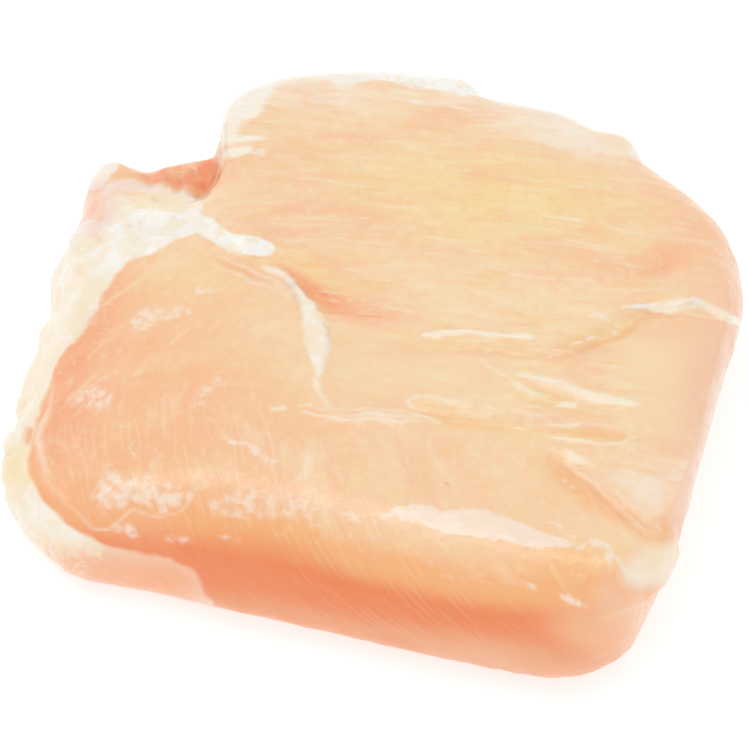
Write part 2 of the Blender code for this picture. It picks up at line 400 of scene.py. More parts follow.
@dataclass(frozen=True)
class BreastForm:
    """The large form of the cut: a rim carried round the outline, and a top sheet inside it."""

    outline: list[Edge] = field(default_factory=lambda: FRONT + CORNER + RIGHT + BACK + CHUNK + LEFT)
    plateau: float = 28.0
    core: Place = (0.0, 8.0)
    top_squareness: float = 2.15
    base_squareness: float = 2.3
    inward_reach: float = 9.0
    left_crest_x: float = -27.0
    left_fall: float = 10.5
    left_fall_reach: float = 38.0
    left_fall_end: float = 1.3
    chunk_height: float = 17.5
    chunk_top: float = 23.5
    chunk_run: Ramp = Ramp(33, 23)
    cliff_x: float = -34.2
    cliff_half_width: float = 1.9
    cliff_foot_half_width: float = 11.0
    nub: Row = (52.0, -50.2, 21.4)
    nub_turn: float = -7.0
    nub_push: float = 3.0
    nub_half_width: float = 5.4
    nub_root: float = 8.0
    nub_half_thickness: float = 5.3
    mounds: tuple[Mound, ...] = (
        Mound(16, 34, 60, 34, -8, 1.2),
        Mound(-26, -8, 26, 24, 60, 1.6),
        Mound(-4, 6, 18, 10, -25, -0.8),
        Mound(24, -26, 26, 12, -8, 0.8),
        Mound(58, -34, 9, 16, -18, -1.8),
    )
    ridges: tuple[Ridge, ...] = (
        Ridge((
            (-38, 31), (-50, 27), (-58, 20), (-62, 8), (-66, -6), (-69, -20), (-67, -30), (-58, -36),
        ), 4, 1.3),
        Ridge(((-40, 33), (-34, 31), (-27, 25.5), (-21, 23.5)), 2.8, 1.5),
        Ridge(((-24, 20), (-19, 15.2), (-13.8, 7.6), (-11.6, 0.5), (-10.8, -9), (-9.6, -18)), 2.1, 0.9),
        Ridge(((-36.6, 42), (-36.6, 52), (-37.4, 66)), 2.2, -1.6),
        Ridge(((37, -5.5), (42, -4), (46, -1.5), (53, 4), (61, 6.2)), 2.2, -1.5),
        Ridge(((52, 7.5), (60, 8.5), (65, 9.8), (70, 8.5), (74, 7.5)), 1.8, 0.8),
        Ridge(((31, -30), (36, -35), (44, -43)), 2.8, -1, 9),
    )

    def outline_rows(self, count: int) -> Array:
        """Give count rows of the outline, evenly spaced along a smooth closed curve."""
        return spaced_evenly(curve_through(np.array(self.outline), OUTLINE_STEPS, closed=True), count)

    def middle(self, outline: Array) -> Array:
        """Give the middle of the outline's box, which stands over the origin."""
        low, high = outline[:, :2].min(axis=0), outline[:, :2].max(axis=0)
        return np.array([*(0.5 * (low + high)), 0.0])

    def inward(self, outline: Array) -> Array:
        """Give the inward normal at each outline row, evened out along the outline by a bell curve.

        Args:
            outline: The outline's rows, evenly spaced.

        Returns:
            A row of X and Y for each.
        """
        ahead = np.roll(outline[:, :2], -1, axis=0) - np.roll(outline[:, :2], 1, axis=0)
        normal = np.stack([-ahead[:, 1], ahead[:, 0]], axis=1)
        normal /= np.linalg.norm(normal, axis=1, keepdims=True)
        step = float(np.hypot(*(outline[1, :2] - outline[0, :2])))
        last = int(3.0 * self.inward_reach / step)
        total = np.zeros_like(normal)
        for offset in range(-last, last + 1):
            share = np.exp(-0.5 * (offset * step / self.inward_reach) ** 2)
            total += share * np.roll(normal, offset, axis=0)
        return total / np.linalg.norm(total, axis=1, keepdims=True)

    def chunk_share(self, x: Array, y: Array) -> Array:
        """Give 1 on the low chunk and 0 on the lobes: steep at the back and soft in front.

        Args:
            x: Places from left to right.
            y: Places from front to back.

        Returns:
            A smooth step across the cliff, times one along it.
        """
        foot = self.cliff_foot_half_width
        half_width = foot + (self.cliff_half_width - foot) * self.chunk_run.at(y)
        side = smooth_step(0.5 + (self.cliff_x - x) / (2.0 * half_width))
        return side * smooth_step((y - self.chunk_run.start + foot) / foot)

    def top_height(self, x: Array, y: Array) -> Array:
        """Work out the height of the top before the rim rounds it off.

        It is the plateau, less a parabola left of the left lobe's crest, plus the mounds; then the
        low chunk, where it is lower; then the ridges and creases.

        Args:
            x: Places from left to right.
            y: Places from front to back.

        Returns:
            The heights there.
        """
        past_crest = np.clip((self.left_crest_x - x) / self.left_fall_reach, 0.0, self.left_fall_end)
        height = self.plateau - self.left_fall * past_crest ** 2
        height = height + sum(mound.at(x, y) for mound in self.mounds)
        down = (self.chunk_top - self.chunk_height) * self.chunk_run.at(y)
        chunk = np.minimum(height, self.chunk_top - down)
        height = height + (chunk - height) * self.chunk_share(x, y)
        return height + sum(ridge.at(x, y) for ridge in self.ridges)

    def with_nub(self, points: Array) -> Array:
        """Push the skin out over the cut corner, as a thumb of meat.

        The push is flat-topped across, as exp(-x^4), and more so in height, as exp(-x^6). It fades
        inwards as a bell curve.

        Args:
            points: Rows of X, Y and Z.

        Returns:
            The moved rows. Those on the ground stay.
        """
        turn = np.radians(self.nub_turn)
        outwards = np.array([np.cos(turn), np.sin(turn), 0.0])
        offset = points - np.array(self.nub)
        root = np.clip(offset @ outwards, None, 0.0) / self.nub_root
        across = (offset[..., 1] * outwards[0] - offset[..., 0] * outwards[1]) / self.nub_half_width
        above = offset[..., 2] / self.nub_half_thickness
        push = self.nub_push * np.exp(-(root ** 2) - across ** 4 - above ** 6) * (points[..., 2] > 0.0)
        return points + push[..., None] * outwards

    def rim(self, outline: Array, top_rings: int, base_rings: int) -> Array:
        """Carry the rounded profile round the outline, from the top's edge down to the base's edge.

        Above the widest line a ring's inset and rise follow a superellipse quarter, which ends
        level in the top. Below it they follow one that ends level at the base.

        Args:
            outline: The outline's rows.
            top_rings: Rings above the widest line.
            base_rings: Rings below it.

        Returns:
            Rings, rows and X, Y, Z.
        """
        inward = self.inward(outline)
        place, widest, top, base = outline[:, :2], outline[:, 2], outline[:, 3], outline[:, 4]
        rings = []
        for angle in np.linspace(np.pi / 2, 0.0, top_rings + 1):
            inset = 1.0 - np.cos(angle) ** (2.0 / self.top_squareness)
            rise = np.sin(angle) ** (2.0 / self.top_squareness)
            plan = place + inward * (top * inset)[:, None]
            height = widest + (self.top_height(plan[:, 0], plan[:, 1]) - widest) * rise
            rings.append(np.column_stack([plan, height]))
        for angle in np.linspace(0.0, np.pi / 2, base_rings + 1)[1:]:
            inset = 1.0 - np.cos(angle) ** (2.0 / self.base_squareness)
            drop = np.sin(angle) ** (2.0 / self.base_squareness)
            plan = place + inward * (base * inset)[:, None]
            rings.append(np.column_stack([plan, widest * (1.0 - drop)]))
        rings[-1][:, 2] = 0.0
        return np.array(rings)

    def sheet(self, edge: Array, cells: int) -> Array:
        """Fill the top inside the rim with a square sheet of points.

        A point on the sheet's square ring of size s lies at the share s of the way from the core to
        a border point with the same place round the ring. The border is the edge itself at s = 1
        and an evened-out edge further in.

        Args:
            edge: The rim's uppermost ring, four times cells rows.
            cells: Cells along one side of the sheet.

        Returns:
            Columns, rows and X, Y, Z.
        """
        across = np.linspace(-1.0, 1.0, cells + 1)
        a, b = np.meshgrid(across, across, indexing="ij")
        size = np.maximum(np.abs(a), np.abs(b))
        safe = np.where(size > 0.0, size, 1.0)
        u, v = a / safe, b / safe
        turn = np.select(
            [v <= -1.0, u >= 1.0, v >= 1.0],
            [0.5 * (u + 1.0), 1.0 + 0.5 * (v + 1.0), 2.0 + 0.5 * (1.0 - u)],
            3.0 + 0.5 * (1.0 - v),
        ) % 4.0
        slots = turn / 4.0 * len(edge)
        even = edge[:, :2].copy()
        for _ in range(len(edge) * 2):
            even = 0.5 * even + 0.25 * (np.roll(even, 1, axis=0) + np.roll(even, -1, axis=0))
        order = np.arange(len(edge) + 1)
        border = self.around(slots, order, edge)
        rounder = self.around(slots, order, even)
        outer = (size ** 4)[..., None]
        plan = np.array(self.core) + size[..., None] * (rounder + outer * (border - rounder) - self.core)
        height = self.top_height(plan[..., 0], plan[..., 1])
        return np.dstack([plan, height])

    def around(self, slots: Array, order: Array, ring: Array) -> Array:
        """Read a closed ring at places between its rows."""
        closed = np.vstack([ring, ring[:1]])
        return np.stack([np.interp(slots, order, closed[:, axis]) for axis in (0, 1)], axis=-1)


# Where things are on the skin, as seen from in front and above

@dataclass(frozen=True)
class Sight:
    """The line of sight in which the markings are laid out.

    A place on the skin is named by where the line of sight through it meets a level plane.

    Attributes:
        elevation: How far the eye is above the horizon, in degrees.
        distance: From the eye to the target, in millimetres.
        target: What the eye looks at, in millimetres on the plan.
        level: The plane's height, in millimetres.
        cell: Size of the cells in which points are compared, in millimetres.
        slack: How far a point may lie behind the nearest one of its cell, in millimetres.
        towards: How the share grows with the cosine between the normal and the line of sight.
        view_rounds: How often what is in view is evened out over the skin.
        share_rounds: How often the share is.
    """

    elevation: float = 50.0
    distance: float = 425.0
    target: Row = (0.0, 0.0, 15.0)
    level: float = 28.0
    cell: float = 0.8
    slack: float = 5.0
    towards: Ramp = Ramp(-0.04, 0.12)
    view_rounds: int = 6
    share_rounds: int = 5

    def back(self) -> Array:
        """Give the direction from the target to the eye."""
        angle = np.radians(self.elevation)
        return np.array([0.0, -np.cos(angle), np.sin(angle)])

    def eye(self) -> Array:
        """Give the eye's place."""
        return np.array(self.target) + self.back() * self.distance

    def places(self, points: Array) -> Array:
        """Give the X and Y at which the line of sight through each point meets the level plane.

        Args:
            points: Rows of X, Y and Z.

        Returns:
            Rows of X and Y.
        """
        eye = self.eye()
        share = (self.level - eye[2]) / (points[..., 2] - eye[2])
        return eye[:2] + (points[..., :2] - eye[:2]) * share[..., None]

    def in_view(self, points: Array) -> Array:
        """Give 1 where nothing is in front of a point and 0 where nearer skin hides it.

        The places are gathered in small cells of the level plane. A point fades out as it lies more
        than slack beyond the nearest point of its cell.

        Args:
            points: Rows of X, Y and Z.

        Returns:
            A value from 0 to 1 for each.
        """
        cells = np.floor(self.places(points) / self.cell).astype(int)
        cells -= cells.min(axis=0)
        depth = np.linalg.norm(self.eye() - points, axis=-1)
        nearest = np.full(cells.max(axis=0) + 1, np.inf)
        np.minimum.at(nearest, tuple(cells.T), depth)
        return 1.0 - smooth_step((depth - nearest[tuple(cells.T)] - self.slack) / self.slack)

    def facing(self, points: Array, normals: Array) -> Array:
        """Give the cosine between each normal and the direction to the eye."""
        to_eye = self.eye() - points
        return (to_eye * normals).sum(axis=-1) / np.linalg.norm(to_eye, axis=-1)


@dataclass(frozen=True)
class Mark:
    """A marking on the level plane.

    Attributes:
        kind: What it is made of.
        strength: How much of it there is.
        soft: How far its edge fades, in millimetres.
        rows: The points of its route or ring, in millimetres.
        lift: How far it stands out of the skin, in millimetres.
    """

    kind: Kind
    strength: float
    soft: float
    rows: tuple[Row, ...]
    lift: float = 0.0

    def amount(self, at: Array) -> Array:
        """Work out the amount: the strength inside the edge, fading over soft across it.

        Args:
            at: Places on the level plane.

        Returns:
            The amount at each, which is 0 outside the curve's widened box.
        """
        curve = self.curve()
        reach = self.soft + curve[:, 2:].max(initial=0.0)
        low, high = curve[:, :2].min(axis=0) - reach, curve[:, :2].max(axis=0) + reach
        near = ((at > low) & (at < high)).all(axis=1)
        amount = np.zeros(len(at))
        past_edge = self.past_edge(at[near], curve)
        amount[near] = self.strength * (1.0 - smooth_step(past_edge / self.soft + 0.5))
        return amount


class Line(Mark):
    """A marking along a route, whose rows are X, Y and half width."""

    def curve(self) -> Array:
        """Give the route as a smooth curve."""
        return curve_through(np.array(self.rows, dtype=float), ROUTE_STEPS, closed=False)

    def past_edge(self, at: Array, route: Array) -> Array:
        """Give the distance to the route, less the half width there."""
        distance, found = nearest_on_route(at, route)
        return distance - found[:, 2]


class Patch(Mark):
    """A marking inside a closed ring, whose rows are X and Y."""

    def curve(self) -> Array:
        """Give the ring as a smooth curve."""
        return curve_through(np.array(self.rows, dtype=float), RING_STEPS, closed=True)

    def past_edge(self, at: Array, ring: Array) -> Array:
        """Give the distance to the ring, negative inside it."""
        distance, _ = nearest_on_route(at, np.vstack([ring, ring[:1]]))
        return np.where(inside_ring(at, ring), -distance, distance)


Marks = tuple[Line | Patch, ...]


@dataclass(frozen=True)
class Tint(Oval):
    """A soft oval of colour on the level plane."""

    colour: Colour
    strength: float

    def amount(self, at: Array) -> Array:
        """Give the strength times a bell curve with a flat top."""
        return self.strength * np.exp(-(self.out(at[:, 0], at[:, 1]) ** 1.5))


# The colours of the meat, in linear light
PEACH = (0.94, 0.65, 0.39)
YELLOW = (0.935, 0.71, 0.36)
PALE = (0.945, 0.725, 0.45)
GOLD = (0.935, 0.61, 0.26)
PINK_PEACH = (0.945, 0.56, 0.34)
LEFT_PEACH = (0.938, 0.465, 0.238)
PINK_ORANGE = (0.94, 0.46, 0.26)
ORANGE = (0.94, 0.52, 0.28)
RED_ORANGE = (0.935, 0.36, 0.17)
# SALMON and SHOULDER_GOLD colour the walls and the shoulder partly as painted shade; LOW_PEACH lightens the
# low rim as painted bounce light.
SALMON = (0.866, 0.25, 0.085)
LOW_PEACH = (0.86, 0.352, 0.165)
CORNER_PEACH = (0.96, 0.62, 0.41)
SHOULDER_GOLD = (0.94, 0.43, 0.155)
BLUSH = (0.955, 0.7, 0.5)
PALE_PINK = (0.95, 0.8, 0.715)

# The colours of the fat
WHITE_FAT = (0.955, 0.91, 0.87)
CREAM_FAT = (0.93, 0.78, 0.57)
YELLOW_FAT = (0.93, 0.75, 0.44)
PEACH_FAT = (0.93, 0.43, 0.22)
PINK_FAT = (0.892, 0.59, 0.535)


@dataclass(frozen=True)
class Markings:
    """Everything that is drawn on the skin, by name."""

    collar: Patch = Patch(FAT, 1, 2.2, (
        (-37, 31), (-38, 26.5), (-41, 25), (-45, 22), (-49, 20), (-52, 17), (-54.5, 11), (-56.5, 4),
        (-59, -1.5), (-61.5, -6), (-63, -12), (-64, -18), (-65, -24), (-65.6, -32), (-64.8, -36),
        (-62.5, -40.5), (-60, -44), (-57, -47), (-53, -50), (-49.5, -52.6), (-50, -56), (-56, -60),
        (-64, -64), (-85, -50), (-85, 20), (-66, 30.5), (-60, 31), (-52, 32.5), (-44, 32.5),
    ), lift=0.15)
    tongue: Patch = Patch(THIN_FAT, 0.95, 2, (
        (-60, -48), (-55, -50), (-50, -51.6), (-46, -53.4), (-41, -54.4), (-36.8, -55.4), (-33, -57.6),
        (-31.2, -61), (-30.6, -68), (-62, -78), (-70, -56),
    ), lift=0.15)
    seam_fat: Line = Line(FAT, 1, 1.8, (
        (-41, 30.5, 2.6), (-37.5, 30, 2.7), (-34.5, 28.4, 2.5), (-31.5, 26.2, 2.3), (-28.5, 24.6, 2.5),
        (-25.5, 23.7, 2.7), (-22.8, 22.8, 2.2),
    ), lift=0.3)
    seam_line: Marks = (
        Line(FAT, 0.85, 2.2, ((-22.6, 17.6, 0.6), (-20.9, 16.4, 1.3), (-18.8, 14.8, 1))),
        Line(FAT, 0.92, 1.8, (
            (-18.2, 13.9, 0.8), (-15.6, 10.8, 1.1), (-13.5, 7.3, 1.2), (-12.3, 3.2, 1.5), (-11.2, -0.8, 2.3),
            (-10.7, -3.9, 2.3), (-10.7, -6.8, 1.8), (-10.9, -9.4, 1),
        ), lift=0.15),
        Line(FILM, 0.66, 1.8, (
            (-10.8, -7, 1.6), (-10.9, -9.9, 1.1), (-11.2, -13, 0.8), (-10.3, -16.2, 0.7), (-8.6, -18.8, 0.5),
        ), lift=0.1),
        Line(FILM, 0.6, 1.4, ((-31.8, 20.9, 0.3), (-26.5, 17.5, 0.5), (-21.2, 13.9, 0.5), (-15.6, 9.7, 0.4))),
        Line(FILM, 0.6, 1.4, ((-33.8, 18.2, 0.3), (-27.4, 15, 0.5), (-22, 12.2, 0.5), (-16.6, 8.6, 0.4))),
        Line(FILM, 0.5, 1, ((-25, 15.2, 0.2), (-20.6, 12.6, 0.3), (-16, 9.2, 0.3))),
        # Painted shade between the seam's strands.
        Line(CREASE, 0.3, 1.3, ((-32.1, 19.4, 0.2), (-26.6, 16.3, 0.3), (-21.4, 13.1, 0.2))),
    )
    back_membrane: Patch = Patch(THIN_FAT, 0.85, 3.4, (
        (-29, 54), (-28.6, 60), (-25.5, 63.5), (-23.8, 68), (-20.4, 72.3), (-12, 74.2), (-8.7, 73),
        (-5, 72.5), (0, 74.5), (4, 75.5), (4, 92), (-50, 92), (-42, 55), (-34, 53.5),
    ))
    back_veil: Patch = Patch(FILM, 0.42, 4.5, (
        (-9, 74), (-8, 66), (-4.5, 65), (-3, 72), (3.5, 72), (3.5, 68.5), (7, 66.4), (13, 66.2), (18, 64.5),
        (24, 59.5), (31, 55.5), (40, 51), (46, 50.5), (52, 62), (30, 84), (0, 86),
    ))
    back_fat: Patch = Patch(FAT, 1, 2.4, (
        (2.5, 75.5), (5, 73.5), (9, 71.8), (14, 71), (19, 69.6), (22.5, 69.4), (27, 70), (27, 90), (2, 90),
    ), lift=0.2)
    back_streaks: Marks = (
        Line(FILM, 0.6, 2.4, (
            (4, 68.5, 0.6), (9, 67.4, 1.2), (14, 66.8, 1.2), (20, 65, 0.9), (27, 61.5, 0.5),
        )),
        Line(FILM, 0.4, 2.2, ((22, 63.5, 0.3), (28, 60, 0.6), (36, 55.6, 0.6), (44, 52, 0.4))),
        Line(FILM, 0.35, 3, ((30, 66, 0.6), (38, 61.5, 0.8), (45, 56.5, 0.6))),
    )
    knob: Patch = Patch(THIN_FAT, 0.9, 2.6, (
        (46, 54), (49.6, 51.8), (54.5, 50.5), (60, 52), (60, 64), (46, 64),
    ))
    lobe_bits: Marks = (
        Line(THIN_FAT, 0.85, 1.8, ((-29, 55, 0.9), (-27, 56, 1.1), (-24.8, 55.6, 0.9)), lift=0.15),
        Line(THIN_FAT, 0.95, 1.8, ((-33, 50.6, 1), (-30, 51.4, 1.7), (-27.5, 52.2, 1.2)), lift=0.2),
        Line(THIN_FAT, 0.8, 1.8, ((-27, 51.6, 0.5), (-24, 51.4, 0.9)), lift=0.1),
        Line(RAW, 0.8, 1.2, ((-33.6, 54.6, 0.8), (-33, 52.4, 0.9))),
    )
    sinew: Marks = (
        Line(FAT, 0.85, 2, (
            (50.4, 6.6, 0.4), (53.5, 6.4, 0.8), (56, 6.2, 1.2), (58.5, 6.8, 1.3), (61, 7.4, 1.2),
            (64, 8, 1.1), (67, 7.2, 1.4), (69.5, 5.2, 1.5), (71.5, 3.6, 1.5), (74, 2, 1.4),
        ), lift=0.15),
        Line(FILM, 0.75, 1.6, ((57, 5.4, 0.5), (62, 6.4, 0.7), (65.5, 6.6, 0.7), (68, 5.6, 0.4)), lift=0.1),
        Line(FILM, 0.6, 1.3, ((67.5, 6.3, 0.2), (70, 4.4, 0.4), (72, 3, 0.3))),
    )
    # Painted highlights: glints on small bubbles by the sinew, and a pale film dash.
    sinew_painted_glints: Marks = (
        Line(WET, 1.3, 1, ((43.6, 3.4, 0.3), (45.3, 4.2, 0.5), (46.4, 2.8, 0.4))),
        Line(WET, 1.3, 1, ((47.2, -0.8, 0.4), (48, 0.2, 0.5))),
        Line(WET, 1.3, 1, ((42.4, -2.5, 0.3), (43.6, -1.8, 0.4))),
        Line(FILM, 0.7, 1.2, ((39.4, -3.8, 0.5), (41.4, -3.2, 0.4))),
    )
    chunk_tip: Patch = Patch(THIN_FAT, 1, 1.5, (
        (-61, 40), (-60.8, 43.7), (-59.6, 46.7), (-57.6, 49.2), (-54.9, 48.4), (-56, 45.5), (-56.9, 43.1),
        (-57.8, 40),
    ), lift=0.35)
    chunk_band: Patch = Patch(THIN_FAT, 0.9, 1.8, (
        (-57.6, 40.4), (-56.2, 42.1), (-53.1, 43.1), (-49.9, 43.1), (-46.6, 41.8), (-43.3, 40.3), (-40, 38.7),
        (-37.4, 37.4), (-36, 35.3), (-37.2, 33.5), (-40.9, 35), (-44.1, 37.1), (-47.4, 38.9), (-51.8, 40),
        (-54.9, 39.4), (-57.2, 37.1),
    ), lift=0.2)
    chunk_fat: Patch = Patch(FAT, 0.9, 2.4, (
        (-56, 38.5), (-50, 39), (-45, 38.6), (-40, 36.8), (-36.8, 34.5), (-36.5, 31), (-42, 31), (-50, 31),
        (-57, 32),
    ), lift=0.15)
    notch: Marks = (
        Patch(RAW, 0.9, 1.5, (
            (-50.4, 44.6), (-47.9, 47.1), (-44.8, 49.3), (-40.6, 51.2), (-32.4, 52), (-31.4, 48),
            (-31.7, 45.6), (-32.6, 43), (-33.9, 40.3), (-35.8, 38.9), (-38, 38.7), (-41.1, 40), (-44.4, 41.5),
            (-47.7, 43),
        )),
        Patch(RAW, 0.5, 2, ((-55.4, 44), (-53.6, 48), (-49, 49), (-47, 46), (-48, 43.6), (-52, 43.6))),
        Patch(RAW, 0.4, 2.2, ((-61, 38.6), (-58.4, 39.6), (-58.2, 36.6), (-59, 33), (-62, 32))),
    )
    # Painted shade in the deep corner of the notch.
    notch_deep: Line = Line(CREASE, 0.35, 2.6, (
        (-35.8, 40.5, 0.8), (-35, 43.5, 1.6), (-34.6, 47, 1.8), (-34.4, 50, 1.6),
    ))
    notch_strands: Marks = (
        Line(FILM, 0.55, 1.6, ((-40.4, 39.6, 0.5), (-39, 43, 0.8), (-38.6, 46.5, 0.5))),
        Line(FILM, 0.5, 1.4, ((-38.2, 39.6, 0.3), (-37.2, 42, 0.5), (-37.2, 44.6, 0.3))),
        Line(FILM, 0.35, 1.6, ((-47, 44.2, 0.2), (-43, 45.6, 0.4), (-40, 46.6, 0.2))),
        # Painted shade at the foot of the strands.
        Line(CREASE, 0.7, 1, ((-38.4, 37.9, 0.4), (-37, 38.4, 0.5))),
    )
    # Painted shade in the seam's valley.
    seam_crease: Line = Line(CREASE, 0.5, 3.4, (
        (-20.5, 18.6, 0.2), (-17.4, 15.4, 0.6), (-14.6, 12.2, 0.9), (-12, 9.4, 0.9), (-9.6, 6.6, 0.5),
    ))
    # Painted shade: a darker line along the seam.
    seam_painted_shade: Line = Line(CREASE, 0.5, 1.4, (
        (-11.4, 5.6, 0.3), (-7.4, 5, 0.35), (-3, 4.4, 0.3), (1, 4.2, 0.2),
    ))
    # Painted shade in the right crease.
    right_crease: Marks = (
        Line(CREASE, 0.42, 1.8, (
            (37, -6.6, 0.2), (41, -5.8, 0.4), (44.5, -3.6, 0.6), (48, -1.6, 0.5), (51, 0.6, 0.5),
            (55, 3.6, 0.4), (61, 5, 0.2),
        )),
        Line(CREASE, 0.25, 1.4, ((52, 3.8, 0.2), (56, 4.6, 0.3), (61, 4.6, 0.2))),
    )
    # Painted shade in a short crease.
    short_crease: Line = Line(CREASE, 0.3, 2.2, ((54, 15.8, 0.2), (58, 17.4, 0.4), (61, 19, 0.2)))
    # Painted shade in the corner crease's lines, between pale film strokes.
    corner_crease: Marks = (
        Line(CREASE, 0.26, 3.2, (
            (33, -32, 0.3), (35.5, -35.6, 0.7), (39.5, -40, 0.8), (43.5, -44, 0.8), (47.5, -48.2, 0.6),
            (50, -50.3, 0.3),
        )),
        Line(CREASE, 0.55, 1.4, ((36, -33.4, 0.2), (42, -39.8, 0.35), (49.4, -49.4, 0.25))),
        Line(FILM, 0.6, 1.3, ((37, -33.2, 0.2), (43.4, -39.4, 0.35), (50, -48, 0.25))),
        Line(CREASE, 0.5, 1.3, ((43, -38.4, 0.1), (47, -43, 0.3), (50.8, -47.6, 0.2))),
        Line(FILM, 0.6, 1.5, ((42, -36.2, 0.2), (47, -41, 0.4), (51.6, -45.4, 0.3))),
    )
    corner_flap: Patch = Patch(FILM, 0.42, 4.5, (
        (44, -35.5), (48, -33.5), (53, -34), (60, -28), (66, -12), (70, -12), (62, -36), (58.6, -45),
        (53, -47), (50, -43), (47, -39),
    ))
    # Painted highlights: the wet glare on the cut corner.
    corner_glare: Marks = (
        Patch(WET, 0.7, 3, ((48, -37.5), (51, -36), (54, -38), (53.6, -42), (51.4, -43.5), (49, -41))),
        Line(WET, 0.8, 1.2, ((46, -36.4, 0.7), (49.5, -37.6, 0.8), (52, -39, 0.5))),
        Line(WET, 0.8, 0.9, ((36.4, -37.2, 0.4), (38, -38.8, 0.5))),
        Line(WET, 0.7, 0.9, ((32, -46.6, 0.3), (34.4, -47.4, 0.4))),
        Line(WET, 0.7, 0.9, ((35.6, -49.4, 0.3), (37.6, -50, 0.4))),
    )
    nub_fat: Patch = Patch(THIN_FAT, 0.8, 6, (
        (45.6, -55), (48, -52.4), (50.8, -51.2), (54, -50.8), (60, -50.8), (60, -61.2), (54, -61.4),
        (50.8, -61.6), (47.6, -61.8), (45, -60.6), (44.4, -57.4),
    ))
    # Painted shade along the inner edge of the collar.
    collar_line: Line = Line(CREASE, 0.22, 2.6, (
        (-52, 15.6, 0.3), (-55, 8, 0.5), (-58.4, -1.4, 0.6), (-61.6, -9, 0.6), (-63, -16, 0.6),
        (-64, -22, 0.4),
    ))
    membrane_line: Marks = (
        Line(FILM, 0.62, 1.9, (
            (-62.6, -13.7, 0.2), (-62.6, -18.8, 0.5), (-63.3, -23.7, 0.8), (-63.9, -27.4, 0.9),
            (-63.2, -31, 0.7), (-61.6, -35.4, 0.5),
        ), lift=0.3),
        Line(FILM, 0.42, 1.8, (
            (-63.2, -31, 0.5), (-61.6, -35.8, 0.6), (-59.4, -39.3, 0.6), (-56.5, -42.8, 0.5),
            (-53.4, -46.3, 0.6), (-51.9, -48.5, 0.7),
        ), lift=0.3),
        # Painted shade beside the membrane cord.
        Line(CREASE, 0.3, 1.8, ((-61.2, -22, 0.2), (-61.4, -28.6, 0.35), (-60, -33.4, 0.3))),
    )
    collar_beads: Marks = (
        Line(FAT, 1, 3, ((-69.6, -17.4, 1.4), (-69.2, -20, 1.4)), lift=1.1),
        Line(FAT, 1, 3, ((-70, -26, 1.6), (-69.8, -28.6, 1.6)), lift=1.2),
        Line(FAT, 1, 3, ((-69.2, -33.6, 1.6), (-68.8, -36, 1.6)), lift=1),
        Line(FAT, 1, 3, ((-67.2, -41, 1.5), (-66.2, -43, 1.4)), lift=0.9),
        Line(FAT, 1, 2.6, ((-60.4, 25.8, 1.7), (-59.6, 24.2, 1.7)), lift=1),
    )
    curly_line: Line = Line(FILM, 0.66, 2, (
        (-51.5, -48.5, 0.5), (-48.8, -47.8, 0.5), (-46.2, -45.8, 0.5), (-44.5, -44.4, 0.5),
        (-41.6, -44.9, 0.4), (-37, -44.6, 0.4), (-34.9, -43, 0.4), (-34.5, -40.5, 0.3),
    ))
